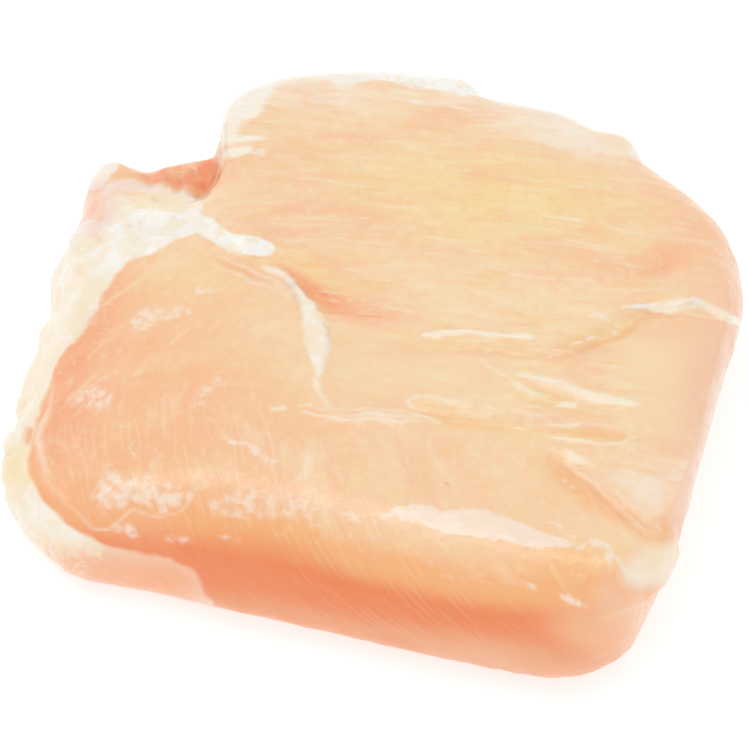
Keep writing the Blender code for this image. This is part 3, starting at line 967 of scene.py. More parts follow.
    # Pale film strokes on the large lobe: partly membranes and partly painted highlights along its wet
    # ridges.
    streaks: Marks = (
        Line(FILM, 0.75, 1.3, (
            (-13.4, -20.4, 0.3), (-9, -21.9, 0.5), (0, -22.6, 0.5), (12.5, -23.3, 0.3),
        ), lift=0.1),
        Line(FILM, 0.6, 1.3, (
            (12.4, -23.2, 0.3), (7, -20.7, 0.5), (2, -20.2, 0.3), (-6, -19.6, 0.4), (-12, -19.4, 0.2),
        ), lift=0.1),
        Patch(FILM, 0.6, 1.6, ((-9, -20.5), (2, -20.8), (7, -21.4), (11, -22.9), (0, -22.2), (-8, -21.4))),
        Line(FILM, 0.65, 1.4, (
            (7.4, -19.4, 0.3), (6.4, -18.4, 0.4), (8.4, -17.1, 0.5), (13, -17.6, 0.6), (18, -18.9, 0.5),
            (23.5, -19.7, 0.3),
        ), lift=0.12),
        Line(FILM, 0.65, 1.3, (
            (20, -6.4, 0.2), (25.7, -11.4, 0.5), (28.4, -14.2, 0.8), (33, -16.8, 0.4),
        ), lift=0.1),
        Patch(FILM, 0.75, 1.8, (
            (28, -11.4), (33, -11.6), (38, -13.4), (43, -15.6), (46, -16.6), (51.5, -17.6), (51, -18.9),
            (46, -18.7), (42, -18.4), (38, -16.4), (33, -13.8),
        ), lift=0.12),
        Line(FILM, 0.85, 1.1, (
            (10, -1, 0.5), (14, -0.8, 1), (20, -0.7, 0.7), (25, -1.2, 0.9), (31.5, -1.8, 0.5),
        ), lift=0.15),
        Line(FILM, 0.45, 1.4, ((18, 16.3, 0.4), (24, 16.7, 0.7), (30, 15.4, 0.4))),
        Line(FILM, 0.7, 1, ((34, -26.6, 0.3), (40, -27.8, 0.5), (46, -28.2, 0.4), (50, -27, 0.3)), lift=0.1),
        Patch(FILM, 0.55, 1.8, (
            (35.6, -29.6), (38.4, -30.2), (41.4, -32.6), (40, -33.6), (36.4, -32.4),
        ), lift=0.1),
        Line(FILM, 0.4, 1.4, ((42, -30.2, 0.3), (46, -31.2, 0.4), (50, -31, 0.3))),
        Line(FILM, 0.45, 1.4, ((44, -34.4, 0.3), (49, -34.8, 0.5), (54, -32, 0.3))),
        Line(FILM, 0.85, 1.1, ((36, -19.2, 0.5), (38.4, -18.9, 0.7))),
        Line(FILM, 0.5, 1.4, ((27, -18.8, 0.3), (31, -19.6, 0.5), (34.6, -20.6, 0.3))),
        Line(FILM, 0.55, 1.4, ((29, -22.2, 0.5), (32, -22.4, 0.7), (35, -24, 0.6), (39, -23.6, 0.5))),
        Line(FILM, 0.75, 1, ((-19.4, -19.7, 0.4), (-17, -19.3, 0.6))),
        Line(FILM, 0.7, 0.9, ((-14.4, -18.9, 0.3), (-12, -18.6, 0.4))),
        Line(FILM, 0.45, 1.4, ((36, 42, 0.3), (38, 39.6, 0.5))),
        Line(FILM, 0.55, 1.2, ((35, 32.6, 0.3), (40, 31.4, 0.7), (44, 30.6, 0.4))),
        Line(FILM, 0.45, 1.2, ((47, 30.6, 0.3), (52, 28.4, 0.5), (56, 27.4, 0.2))),
        Line(FILM, 0.4, 1.2, ((29, 40, 0.3), (33, 38.8, 0.5))),
        Line(FILM, 0.4, 1.6, ((14.5, 42, 0.5), (18.5, 42, 0.5))),
        Line(FILM, 0.4, 1.4, ((7, 37.5, 0.5), (9.5, 37.6, 0.5))),
        Line(FILM, 0.4, 1.2, ((-7, 26, 0.2), (-2, 25, 0.4), (4, 23.4, 0.2))),
        Line(FILM, 0.5, 1.1, ((0, 7.4, 0.2), (3, 6.8, 0.4), (7, 5, 0.3))),
        Line(FILM, 0.35, 1.1, ((12, 2.6, 0.2), (18, 1.8, 0.4), (22, 1.4, 0.2))),
        Line(FILM, 0.5, 1, ((18, -30.6, 0.2), (20.6, -31.6, 0.4))),
        Line(FILM, 0.55, 1.8, ((-16.4, -38.2, 0.5), (-13.4, -35.6, 1), (-12.2, -31.4, 1))),
        Line(FILM, 0.4, 1.4, ((-33, -15.4, 0.3), (-29, -13.8, 0.5), (-22, -14, 0.3))),
    )
    # Painted highlight: the wet glare along the front shoulder, with its ragged tail.
    painted_glare_band: Marks = (
        Patch(WET, 1.5, 1.3, (
            (3.4, -43.8), (6, -43.2), (9.1, -42.8), (13.6, -44.4), (19.2, -43.6), (22.8, -45.4), (27, -46.9),
            (30.6, -49), (34.3, -49.9), (36, -51.4), (34.7, -52.3), (31.8, -52), (28.1, -52.4), (25.6, -51.2),
            (21.4, -50.3), (16.4, -49.7), (12.2, -49), (9.1, -47), (5.4, -46.2),
        )),
        Line(WET, 1.1, 1.3, (
            (35.5, -51.2, 0.5), (37.8, -52, 0.6), (38.8, -51.2, 0.7), (40.6, -51.2, 0.9), (41.9, -51.9, 0.8),
        )),
        Line(WET, 1, 1.3, (
            (41.9, -51.9, 0.7), (42.8, -52.6, 0.7), (43.2, -54.6, 0.6), (42.9, -56.8, 0.5),
            (42.6, -58.4, 0.4),
        )),
        Line(WET, 1.2, 1.2, ((44.3, -54.8, 0.3), (45.2, -57, 0.6), (46, -57.7, 0.5))),
    )
    # Painted highlight: a thin pale line along the front shoulder.
    shoulder_painted_highlight: Line = Line(FILM, 0.42, 1.8, (
        (7.5, -57.5, 0.2), (13.8, -58.8, 0.35), (21, -60.1, 0.4), (28.2, -61.4, 0.4), (30.9, -62.3, 0.2),
    ))
    corner_line: Line = Line(FILM, 0.45, 1.6, (
        (39.5, -67.8, 0.2), (43.2, -66.8, 0.4), (46, -65.3, 0.4), (48.7, -64.4, 0.3),
    ), lift=0.15)
    # Painted highlights: the wet glints on the left lobe, the front and the large lobe.
    painted_glare_spots: Marks = (
        Patch(WET, 0.75, 4, (
            (-59, -17.8), (-57.4, -14.6), (-54, -13.8), (-51.2, -15.8), (-51.8, -19), (-55.4, -19.8),
        )),
        Line(WET, 0.6, 2.4, ((-53, -12.4, 0.4), (-49.6, -11, 0.6))),
        Patch(WET, 0.85, 4.6, (
            (-52.4, -40), (-51, -36.8), (-48, -35.6), (-45, -36.8), (-42.1, -36), (-38.6, -38),
            (-35.6, -39.4), (-33.8, -41.6), (-36.2, -43.4), (-39.9, -44), (-42.6, -42.6), (-44.8, -42.6),
            (-47.3, -43.8), (-50, -45), (-51.6, -42.4),
        )),
        Patch(WET, 0.22, 8, ((-58, -22), (-46, -20), (-30, -26), (-24, -36), (-40, -34), (-56, -34))),
        Line(WET, 0.8, 3, ((-47.6, -47.6, 1.1), (-44.5, -49.2, 1.2))),
        Line(WET, 0.6, 2.8, ((-38, -50.6, 0.9), (-34.5, -51, 1))),
        Line(WET, 0.55, 2.6, ((-29, -50, 0.7), (-25.6, -51.6, 0.8))),
        Line(WET, 1, 2, ((-29, -27.4, 0.5), (-24, -29.4, 0.9), (-19, -32.6, 0.7))),
        Line(WET, 0.7, 3, ((-35, -19, 0.8), (-31, -13, 1.2))),
        Patch(WET, 0.75, 3.4, (
            (-49.6, 1.6), (-47.8, 4.8), (-46, 6.6), (-42, 6.6), (-39.6, 7.8), (-37.2, 6), (-40, 4),
            (-43, 2.8), (-45.8, 0.6),
        )),
        Line(WET, 0.7, 3.2, ((-38, 9.6, 1), (-33, 11.4, 1.2))),
        Patch(WET, 0.62, 5, ((-31, -41), (-24, -39), (-14, -40.6), (-8, -43.4), (-17, -46), (-30, -45))),
        Line(WET, 0.7, 2.6, ((-12.8, -42.4, 0.9), (-11.4, -46.6, 1.1))),
        Line(WET, 0.9, 1.8, ((-7, -45.2, 0.8), (-3, -46.2, 0.9))),
        Line(WET, 0.95, 1.6, ((0, -44.6, 0.7), (3.6, -45.4, 0.8))),
        Line(WET, 0.9, 1.6, ((27.2, -60.6, 0.3), (29.2, -61.5, 0.5))),
        Line(WET, 0.9, 2, ((33.8, -63, 0.4), (35.6, -64.4, 0.7), (38.4, -65.8, 0.3))),
        Line(WET, 0.6, 2.4, ((30, 15.4, 0.6), (37, 14.6, 0.8))),
    )
    combed: Marks = (
        Patch(COMB, 1, 9, (
            (-61, -24), (-52, -18), (-38, -16), (-24, -18), (-12, -26), (-2, -36), (4, -44), (2, -52),
            (-10, -52), (-24, -50), (-40, -48), (-54, -44), (-60, -34),
        )),
        Patch(COMB, 0.55, 9, ((-14, -50), (2, -50), (14, -56), (26, -64), (20, -76), (-8, -70))),
        Patch(COMB, 0.3, 8, ((-6, -26), (10, -27), (24, -34), (20, -42), (4, -38))),
    )
    calm: Marks = (
        Patch(CALM, 0.85, 9, (
            (48, -2), (58, 2), (68, 2), (74, -2), (68, -22), (62, -34), (54, -28), (51, -14),
        )),
        Patch(CALM, 0.5, 9, ((-8, -4), (4, 0), (16, -3), (24, -9), (20, -18), (4, -19), (-8, -16))),
        Patch(CALM, 0.5, 8, ((50, 24), (60, 28), (72, 24), (78, 10), (74, 8), (64, 12), (56, 14))),
    )
    # Real dark specks in the fat, drawn with the crease kind.
    fat_flecks: Marks = (
        Line(CREASE, 0.8, 1.4, ((-66, -25.2, 0.7), (-66, -27.2, 0.7))),
        Line(CREASE, 0.6, 1.2, ((-53, -47.8, 0.4), (-51.6, -49.2, 0.6))),
        Line(CREASE, 0.3, 1.2, ((-57.8, 27.2, 0.2), (-56.4, 25.2, 0.4))),
        Line(CREASE, 0.35, 1.2, ((-52, 38.2, 0.4), (-50.8, 37.8, 0.4))),
        Line(CREASE, 0.35, 1.2, ((-46.8, 37.8, 0.4), (-45.8, 37.4, 0.4))),
        Line(CREASE, 0.32, 1.2, ((-52, 29.8, 0.5), (-50.6, 29.2, 0.4))),
        Line(CREASE, 0.32, 1.1, ((-49.2, 30.6, 0.2), (-48.6, 29.6, 0.3))),
        Line(CREASE, 0.16, 2.4, ((-59.6, 16.4, 0.8), (-58.6, 15.2, 0.8))),
    )
    # Painted shade: fine golden lines in the large lobe's folds.
    golden_lines: Marks = (
        Line(CREASE, 0.24, 1.7, (
            (12.4, -22.6, 0.2), (19.6, -24, 0.3), (28, -25.2, 0.35), (37.4, -25.4, 0.3), (45.2, -26.2, 0.2),
        )),
        Line(CREASE, 0.2, 2, ((5, -5.4, 0.2), (14, -6.4, 0.3), (21, -5, 0.3), (32, -6.8, 0.2))),
        Line(CREASE, 0.2, 1.5, ((6, -20.6, 0.2), (12, -21.4, 0.3), (20, -22.4, 0.2))),
        Line(CREASE, 0.22, 1.6, ((27, -13.8, 0.2), (33, -15.2, 0.3), (40, -18.6, 0.3), (48, -20, 0.2))),
    )
    fleck: Line = Line(CREASE, 0.7, 0.9, ((13.8, -37.3, 0.2), (14.2, -37.7, 0.2)))
    noises_apart: float = 40.0
    coarse_edge: Grainy = Grainy((5, 5, 5), 83, 2)
    coarse_shift: float = 0.8
    fine_edge: Grainy = Grainy((1.6, 1.6, 1.6), 89, 1)
    fine_shift: float = 0.2
    tints: tuple[Tint, ...] = (
        Tint(20, 38, 34, 14, -12, YELLOW, 0.85), Tint(32, 40, 20, 8, -14, (0.935, 0.69, 0.3), 0.5),
        Tint(-14, 46, 20, 14, -10, PINK_PEACH, 0.35), Tint(-6, 32, 16, 6, -12, PINK_PEACH, 0.55),
        Tint(18, 4, 34, 12, -6, PALE, 0.7), Tint(22, -14, 22, 8, -6, PALE, 0.8),
        Tint(-22, -2, 15, 17, 0, PALE, 0.5), Tint(-34, 16, 15, 7, 15, YELLOW, 0.5),
        Tint(-52, -22, 32, 34, 0, LEFT_PEACH, 0.9), Tint(-61, -10, 10, 26, -8, (0.942, 0.405, 0.225), 0.9),
        Tint(-10, -30, 12, 8, 0, LEFT_PEACH, 0.3), Tint(-54, -42, 18, 6, -20, ORANGE, 0.4),
        Tint(-44, -47, 9, 4, -20, PEACH, 0.5), Tint(-20, -40, 24, 6, -15, LEFT_PEACH, 0.4),
        Tint(0, -30, 18, 6, -15, PINK_PEACH, 0.3), Tint(60, 20, 12, 5, 22, PINK_ORANGE, 0.75),
        Tint(72, 22, 7, 16, 12, PINK_PEACH, 0.85), Tint(44, -2, 13, 3, 25, GOLD, 0.6),
        Tint(62, 1, 10, 3.5, 8, PINK_PEACH, 0.6), Tint(52, -14, 9, 12, 0, PALE, 0.5),
        Tint(42, 60, 26, 6, -32, PALE_PINK, 0.85), Tint(-2, 64, 24, 7, -4, PALE, 0.6),
        Tint(-13, 70, 16, 5, -4, PALE_PINK, 0.6), Tint(66, 40, 18, 5, -48, PINK_PEACH, 0.75),
        # The red-orange ovals at (-10.6, 9.4) and (-15.8, 13.6) and the pink-orange ones at (-3.4, 6) and
        # (-27, 16.6) are painted shade in the seam's valley.
        Tint(54, -40, 11, 9, -30, PALE_PINK, 0.25), Tint(-8, 9.5, 13, 6, -24, PINK_PEACH, 0.7),
        Tint(-12, 14.6, 10, 5, -42, GOLD, 0.7), Tint(-3.4, 6, 10, 3.4, -20, PINK_ORANGE, 0.85),
        Tint(-10.6, 9.4, 7.5, 2.4, -34, RED_ORANGE, 1.0), Tint(-15.8, 13.6, 5.5, 1.9, -44, RED_ORANGE, 0.85),
        Tint(-27, 16.6, 8, 2.4, -32, PINK_ORANGE, 0.5), Tint(-22, 28, 10, 3, -30, PINK_PEACH, 0.6),
        Tint(-60, 38, 5, 9, 0, (0.915, 0.58, 0.48), 0.85), Tint(18, -22.5, 12, 2.2, -14, GOLD, 0.6),
        Tint(42, -26.5, 9, 1.4, -3, GOLD, 0.6), Tint(34, -17, 10, 2.4, -18, GOLD, 0.5),
        # The orange oval at (40, -40.5) is painted shade in the corner crease.
        Tint(20, -4, 16, 2.2, -4, GOLD, 0.35), Tint(40, -40.5, 11, 3, -45, (0.945, 0.53, 0.24), 0.9),
        Tint(55.6, -45, 6, 2.6, 70, (0.94, 0.56, 0.36), 0.6),
        Tint(-58, -42, 6, 3, -40, (0.945, 0.53, 0.31), 0.8),
        # The orange oval at (37, -58.6) is painted shade on the shoulder.
        Tint(37, -58.6, 13, 5, -15, (0.94, 0.52, 0.205), 0.85),
        Tint(45.4, -56, 6, 5, -10, (0.935, 0.65, 0.37), 0.85),
    )
    # Ovals on the walls; the salmon one at (-20, -52) adds painted shade and the low peach one at (-10, -69)
    # painted bounce light.
    wall_tints: tuple[Tint, ...] = (
        Tint(46, -67, 7, 8, 20, CORNER_PEACH, 0.85), Tint(48, -62, 5, 3.4, -20, (0.94, 0.48, 0.27), 0.8),
        Tint(53, -60.6, 6, 2.4, -14, (0.95, 0.6, 0.36), 0.9),
        Tint(39, -71, 10, 5.5, -10, (0.93, 0.515, 0.29), 0.85),
        Tint(22, -76, 22, 4, -11, (0.86, 0.43, 0.23), 0.85), Tint(-10, -69, 22, 3.5, -12, LOW_PEACH, 0.7),
        Tint(-20, -52, 12, 3, -12, SALMON, 0.35), Tint(66, -18, 34, 7, 74, (0.88, 0.56, 0.392), 0.9),
        Tint(-50, -44, 16, 6, -20, LEFT_PEACH, 0.7),
    )
    fat_tints: tuple[Tint, ...] = (
        Tint(-62, 6, 6, 22, -12, CREAM_FAT, 0.7), Tint(-67, -22, 5, 12, 0, CREAM_FAT, 0.8),
        Tint(-68, -35, 5, 5, 0, YELLOW_FAT, 0.9), Tint(-60, -52, 9, 6, -30, YELLOW_FAT, 0.45),
        Tint(-52, -57.5, 13, 6, -12, PEACH_FAT, 0.85), Tint(-38, -60, 13, 8, -12, PEACH_FAT, 1.0),
        Tint(-60, -46, 9, 3, -35, WHITE_FAT, 0.4), Tint(-11, 0, 5, 12, 0, CREAM_FAT, 0.7),
        Tint(-46, 29, 9, 4, -10, (0.96, 0.93, 0.9), 0.6),
        Tint(14, 74, 16, 7, 0, (0.958, 0.93, 0.89), 0.9),
        Tint(-20, 68, 20, 10, 0, (0.957, 0.89, 0.8), 0.9),
        Tint(-28, 53, 8, 6, 0, (0.955, 0.86, 0.7), 0.9), Tint(-46, 36, 8, 3, -8, YELLOW_FAT, 0.8),
        Tint(-60, 35, 5.5, 8, 0, PINK_FAT, 0.9), Tint(-50, 42, 9, 3.5, 0, PINK_FAT, 0.6),
        Tint(52, 55, 8, 6, 0, (0.94, 0.73, 0.53), 0.9), Tint(52, -55, 9, 6, 0, (0.945, 0.78, 0.57), 0.9),
        Tint(-67.6, -34.6, 3.4, 4, 0, YELLOW_FAT, 0.8), Tint(-66.6, -41, 3.4, 3.4, 0, CREAM_FAT, 0.8),
        Tint(-27, 24.6, 13, 5, -22, (0.96, 0.935, 0.9), 0.75),
        Tint(-18.6, 13.6, 7, 4, -50, (0.955, 0.82, 0.69), 0.85),
        Tint(-57.6, 45.4, 4, 5.4, 0, (0.95, 0.86, 0.76), 0.9),
        Tint(64, 7, 14, 4, 0, (0.945, 0.79, 0.64), 0.9),
    )

    def all_marks(self) -> list[Line | Patch]:
        """List every line and patch, in the order of the fields."""
        groups = (value if isinstance(value, tuple) else (value,) for value in self.__dict__.values())
        return [mark for group in groups for mark in group if isinstance(mark, Mark)]

    def amounts(self, at: Array, share: Array) -> dict[Kind, Array]:
        """Work out how much of each kind lies at each place.

        Args:
            at: Places on the level plane.
            share: How far the markings count at each place, from 0 to 1.

        Returns:
            For each kind the largest amount of its marks.
        """
        found = {kind: np.zeros(len(at)) for kind in Kind}
        for mark in self.all_marks():
            found[mark.kind] = np.maximum(found[mark.kind], mark.amount(at) * share)
        return found

    def ragged(self, at: Array) -> Array:
        """Shift each place a little by noise along X and along Y, so that no edge runs too true.

        Args:
            at: Places on the level plane.

        Returns:
            The shifted places.
        """
        moved = at.copy()
        for noise, shift in ((self.coarse_edge, self.coarse_shift), (self.fine_edge, self.fine_shift)):
            moved += shift * np.column_stack([noise.at(at), noise.at(at + self.noises_apart)])
        return moved

    def lift(self, at: Array, share: Array) -> Array:
        """Work out how far the thicker marks stand out of the skin.

        Args:
            at: Places on the level plane.
            share: How far the markings count at each place, from 0 to 1.

        Returns:
            The largest lift at each place, in millimetres.
        """
        raised = np.zeros(len(at))
        for mark in self.all_marks():
            if mark.lift:
                raised = np.maximum(raised, mark.lift * mark.amount(at) / mark.strength)
        return raised * share


# The skin as points and faces

@dataclass(frozen=True)
class Skin:
    """The skin's points and faces, in millimetres.

    Attributes:
        points: X, Y and Z.
        flat: Where the point lies when the side walls are unrolled level with the top.
        quads: Four point numbers a row, facing out.
        triangles: Three point numbers a row, round the pole of the underside.
    """

    points: Array
    flat: Array
    quads: Array
    triangles: Array

    def normals(self) -> Array:
        """Add up each point's faces' normals, weighted by their areas.

        Returns:
            Rows of X, Y and Z, of length 1.
        """
        total = np.zeros_like(self.points)
        for corners in (self.quads, self.triangles):
            first, second, third, last = (self.points[corners[:, i]] for i in (0, 1, 2, -1))
            normal = np.cross(third - first, last - second)
            for corner in corners.T:
                for axis in range(3):
                    total[:, axis] += np.bincount(corner, normal[:, axis], minlength=len(total))
        return total / np.linalg.norm(total, axis=1, keepdims=True)

    def evened(self, values: Array, rounds: int) -> Array:
        """Even values out over the skin, by averaging over each face and then round each point.

        Args:
            values: One for each point.
            rounds: How often.

        Returns:
            The evened values.
        """
        faces = np.bincount(self.quads.ravel(), minlength=len(values)) + 1e-9
        for _ in range(rounds):
            of_face = np.repeat(values[self.quads].mean(axis=1), 4)
            round_point = np.bincount(self.quads.ravel(), of_face, minlength=len(values)) / faces
            values = np.where(faces > 0.5, round_point, values)
        return values


@dataclass(frozen=True)
class SkinLayout:
    """How finely the skin is laid out: a square sheet on top, rings down the side, a cap below."""

    cells: int = 220
    top_rings: int = 36
    base_rings: int = 9
    cap_rings: int = 6

    def lay_out(self, form: BreastForm) -> Skin:
        """Lay the sheet, the rim's rings and the cap's shrinking rings, and join them.

        Args:
            form: The cut's large form.

        Returns:
            The closed skin.
        """
        outline = form.outline_rows(4 * self.cells)
        rings = form.rim(outline, self.top_rings, self.base_rings)
        sheet = form.sheet(rings[0], self.cells).reshape(-1, 3)
        steps = np.linalg.norm(np.diff(rings, axis=0), axis=2)
        unrolled = rings[0, None, :, :2] - form.inward(outline) * np.cumsum(steps, axis=0)[..., None]
        pole = np.array([*form.core, 0.0])
        shares = 1.0 - np.arange(1, self.cap_rings) / self.cap_rings
        cap = (pole + shares[:, None, None] * (rings[-1] - pole)).reshape(-1, 3)
        points = form.with_nub(np.vstack([sheet, rings[1:].reshape(-1, 3), cap, pole]))
        flat = np.vstack([sheet[:, :2], unrolled.reshape(-1, 2), cap[:, :2], pole[:2]])
        side = self.cells + 1
        index = np.arange(side * side).reshape(side, side)
        squares = np.stack([index[:-1, :-1], index[1:, :-1], index[1:, 1:], index[:-1, 1:]], axis=-1)
        border = np.concatenate([index[:-1, 0], index[-1, :-1], index[:0:-1, -1], index[0, :0:-1]])
        lower = np.arange(side * side, len(points) - 1).reshape(-1, len(border))
        loops = np.vstack([border, lower])
        after = np.roll(loops, -1, axis=1)
        bands = np.stack([loops[:-1], loops[1:], after[1:], after[:-1]], axis=-1)
        tip = np.full(len(border), len(points) - 1)
        return Skin(
            points=points,
            flat=flat,
            quads=np.vstack([squares.reshape(-1, 4), bands.reshape(-1, 4)]),
            triangles=np.stack([loops[-1], tip, after[-1]], axis=-1),
        )


@dataclass(frozen=True)
class Fibres:
    """The muscle fibres' run, as places along and across them in millimetres.

    The large lobe's fibres run nearly level across the cut. The left lobe's and the front's run
    from back to front and fan out.
    """

    border: tuple[Place, ...] = (
        (-40, 34), (-21, 22), (-12, 5), (-9, -19), (12, -25), (30, -30), (50, -36), (80, -50), (80, -120),
        (-120, -120), (-120, 34),
    )
    border_soft: float = 6.0
    sway: Grainy = Grainy((34, 20, 30), 301, 2)
    sway_size: float = 2.2
    noises_apart: float = 50.0
    dip: float = 0.12
    lean: float = 0.2
    straight_y: float = -18.0
    front_bend: float = 0.008
    front_reach: float = 60.0
    back_bend: float = 0.045
    back_reach: float = 13.0
    slant: float = 1.2
    slant_from_y: float = -5.0

    def left_share(self, flat: Array) -> Array:
        """Give 1 on the left lobe and the front, and 0 on the large lobe."""
        return Patch(CALM, 1, self.border_soft, self.border).amount(flat)

    def large_lobe(self, flat: Array) -> Array:
        """Give places along and across: nearly level lines that dip a little to the right and sway."""
        x, y = flat[:, 0], flat[:, 1]
        return np.column_stack([x - self.dip * y, y + self.dip * x + self.sway_size * self.sway.at(flat)])

    def left_lobe(self, flat: Array) -> Array:
        """Give places along and across: lines from back to front that bend left at the back and front.

        Args:
            flat: Places on the unrolled skin.

        Returns:
            Rows of the two: the bends are parabolas from straight_y on, and the slant is a line.
        """
        x, y = flat[:, 0], flat[:, 1]
        bend = self.front_bend * np.clip(self.straight_y - y, 0.0, self.front_reach) ** 2
        bend += self.back_bend * np.clip(y - self.straight_y, 0.0, self.back_reach) ** 2
        slant = self.slant * np.clip(y - self.slant_from_y, 0.0, None)
        sway = self.sway_size * self.sway.at(flat + self.noises_apart)
        return np.column_stack([y + self.lean * x, x - bend - slant + sway])


@dataclass(frozen=True)
class Relief:
    """The low relief of the skin, in millimetres along its normal."""

    broad: Grainy = Grainy((26, 22, 24), 11, 2)
    broad_height: float = 0.45
    bundles: Grainy = Grainy((26, 3.6, 9), 23, 2)
    bundle_height: float = 0.22
    ripples: Grainy = Grainy((9, 1.9, 6), 29, 2)
    ripple_height: float = 0.07
    pillows: Grainy = Grainy((9, 9, 40), 31, 1)
    pillow_height: float = 3.8
    pillow_softness: float = 0.34
    pillow_sink: float = 1.6
    beads: Grainy = Grainy((3.4, 3.4, 3.4), 37, 1)
    bead_height: float = 0.22
    thin_fat: float = 0.6
    dents: Grainy = Grainy((12, 12, 7), 41, 2)
    dent_height: float = 0.35
    film_height: float = 0.12
    crease_depth: float = 0.6
    raw_height: float = 0.4
    raw_scale: float = 0.9
    on_top: Ramp = Ramp(-0.1, 0.5)
    on_wall: Ramp = Ramp(0.75, -0.4)
    folded: Ramp = Ramp(0.3, 0.3)
    lobe_border: float = 0.2
    underside: float = -0.5
    bubbly: Patch = Patch(RAW, 1, 4, (
        (-58, -42), (-50, -43.5), (-40, -45), (-33, -48), (-34, -54), (-44, -53.5), (-54, -48),
    ))
    glassy: Patch = Patch(RAW, 1, 6, (
        (6, -8), (24, -6), (38, -10), (54, -16), (56, -30), (44, -33), (34, -28), (16, -26), (4, -20),
    ))
    glassy_height: float = 0.28
    glassy_noise: Grainy = Grainy((10, 2.6, 5), 47, 2)
    folds: tuple[Ridge, ...] = (
        Ridge(((26, -12.6), (34, -13.5), (42, -16.8), (52, -19)), 1.4, 0.3, 6),
        Ridge(((26, -15.6), (34, -16.5), (42, -20), (52, -22)), 1.8, -0.3, 6),
        Ridge(((8, -20.3), (15, -23.4), (25, -26), (31, -27)), 1.8, -0.35, 6),
        Ridge(((5, -19.4), (13, -19), (23, -21)), 1.4, 0.25, 5),
        Ridge(((-13, -21.5), (-5, -23.5), (12, -24.6)), 1.2, 0.25, 5),
        Ridge(((10, -2), (20, -2), (31, -3)), 1.6, 0.2, 5),
        Ridge(((54, 14), (58, 16), (62, 17.5)), 1.5, -0.5, 3),
        Ridge(((20, -9), (27, -13.5), (33, -18.5)), 1, 0.3, 4),
        Ridge(((38, -36), (44, -42), (51, -48.6)), 1, -0.3, 6),
        Ridge(((40, -35.4), (46, -40.6), (52, -45.6)), 1, 0.3, 6),
        Ridge(((-46, 2), (-40, 6), (-33, 7)), 1.6, -0.3, 4),
        Ridge(((-50, -14), (-44, -22), (-42, -32)), 2.4, -0.35, 6),
        Ridge(((-46.5, 46), (-45.5, 52), (-46, 60)), 1.2, 0.7, 4),
        Ridge(((-43.4, 45), (-42.6, 52), (-43.4, 60)), 1.2, -0.4, 4),
        Ridge(((-41, 44), (-40, 52), (-40.5, 60)), 1.3, 0.6, 4),
        Ridge(((-49.6, 48), (-49.8, 54), (-50, 62)), 1.6, -0.7, 4),
    )

    def plump(self, points: Array) -> Array:
        """Give the fat's lumps: the size of a noise's value, rounded off where it changes sign."""
        return np.sqrt(self.pillows.at(points) ** 2 + self.pillow_softness ** 2)

    def rise(self, spots: "Spots", marks: dict[Kind, Array], lift: Array) -> Array:
        """Add up the reliefs at every point. Thin fat lies flat, and thick fat has its lumps.

        Args:
            spots: What each point is on.
            marks: The amounts of the markings.
            lift: How far the thicker markings stand out.

        Returns:
            The rise along the normal, in millimetres.
        """
        x, y, z = spots.points.T
        up = spots.normals[:, 2]
        fat = marks[FAT]
        meat = 1.0 - fat
        rise = self.broad_height * self.broad.at(spots.points) * self.on_top.at(up)
        run = np.where(spots.left_share[:, None] > 0.5, spots.left_run, spots.large_run)
        turned = np.column_stack([run, z])
        even = 1.0 - np.exp(-((spots.left_share - 0.5) / self.lobe_border) ** 2)
        rise += self.bundle_height * self.bundles.at(turned) * meat * even
        rise += self.ripple_height * self.ripples.at(turned) * meat * even
        pillows = self.pillow_height * self.plump(spots.points) - self.pillow_sink
        thick = smooth_step((fat - self.thin_fat) / (1.0 - self.thin_fat))
        rise += thick * (pillows + self.bead_height * self.beads.at(spots.points))
        rise += self.dent_height * self.dents.at(spots.points) * self.on_wall.at(up)
        rise += sum(fold.at(x, y) for fold in self.folds) * self.folded.at(up)
        glassy = self.glassy.amount(spots.seen_at) * spots.share
        rise += self.glassy_height * glassy * self.glassy_noise.at(turned) * even
        rise += self.film_height * marks[FILM] - self.crease_depth * marks[CREASE]
        rough = np.maximum(marks[RAW], self.bubbly.amount(spots.seen_at) * spots.share)
        rise += rough * self.raw_height * self.beads.at(spots.points * self.raw_scale)
        rise += lift
        return np.where(up < self.underside, np.minimum(rise, 0.0), rise)


@dataclass(frozen=True)
class Spots:
    """What each point of the skin is on, worked out once.

    Attributes:
        points: X, Y and Z before the relief.
        flat: Where the point lies on the unrolled skin.
        normals: The smooth form's normals.
        seen_at: The place on the level plane, along the line of sight.
        share: How far the point faces the eye, from 0 to 1.
        left_share: How far it is on the left lobe or the front.
        large_run: Places along and across the large lobe's fibres.
        left_run: Places along and across the left lobe's fibres.
    """

    points: Array
    flat: Array
    normals: Array
    seen_at: Array
    share: Array
    left_share: Array
    large_run: Array
    left_run: Array

    @classmethod
    def on(cls, skin: Skin, sight: Sight, fibres: Fibres) -> "Spots":
        """Work them out.

        Args:
            skin: The skin before its relief.
            sight: The line of sight.
            fibres: The fibres' run.

        Returns:
            One value or row for each point of the skin.
        """
        normals = skin.normals()
        facing = sight.towards.at(sight.facing(skin.points, normals))
        seen = skin.evened(sight.in_view(skin.points), sight.view_rounds)
        return cls(
            points=skin.points,
            flat=skin.flat,
            normals=normals,
            seen_at=sight.places(skin.points),
            share=skin.evened(facing * seen, sight.share_rounds),
            left_share=fibres.left_share(skin.flat),
            large_run=fibres.large_lobe(skin.flat),
            left_run=fibres.left_lobe(skin.flat),
        )


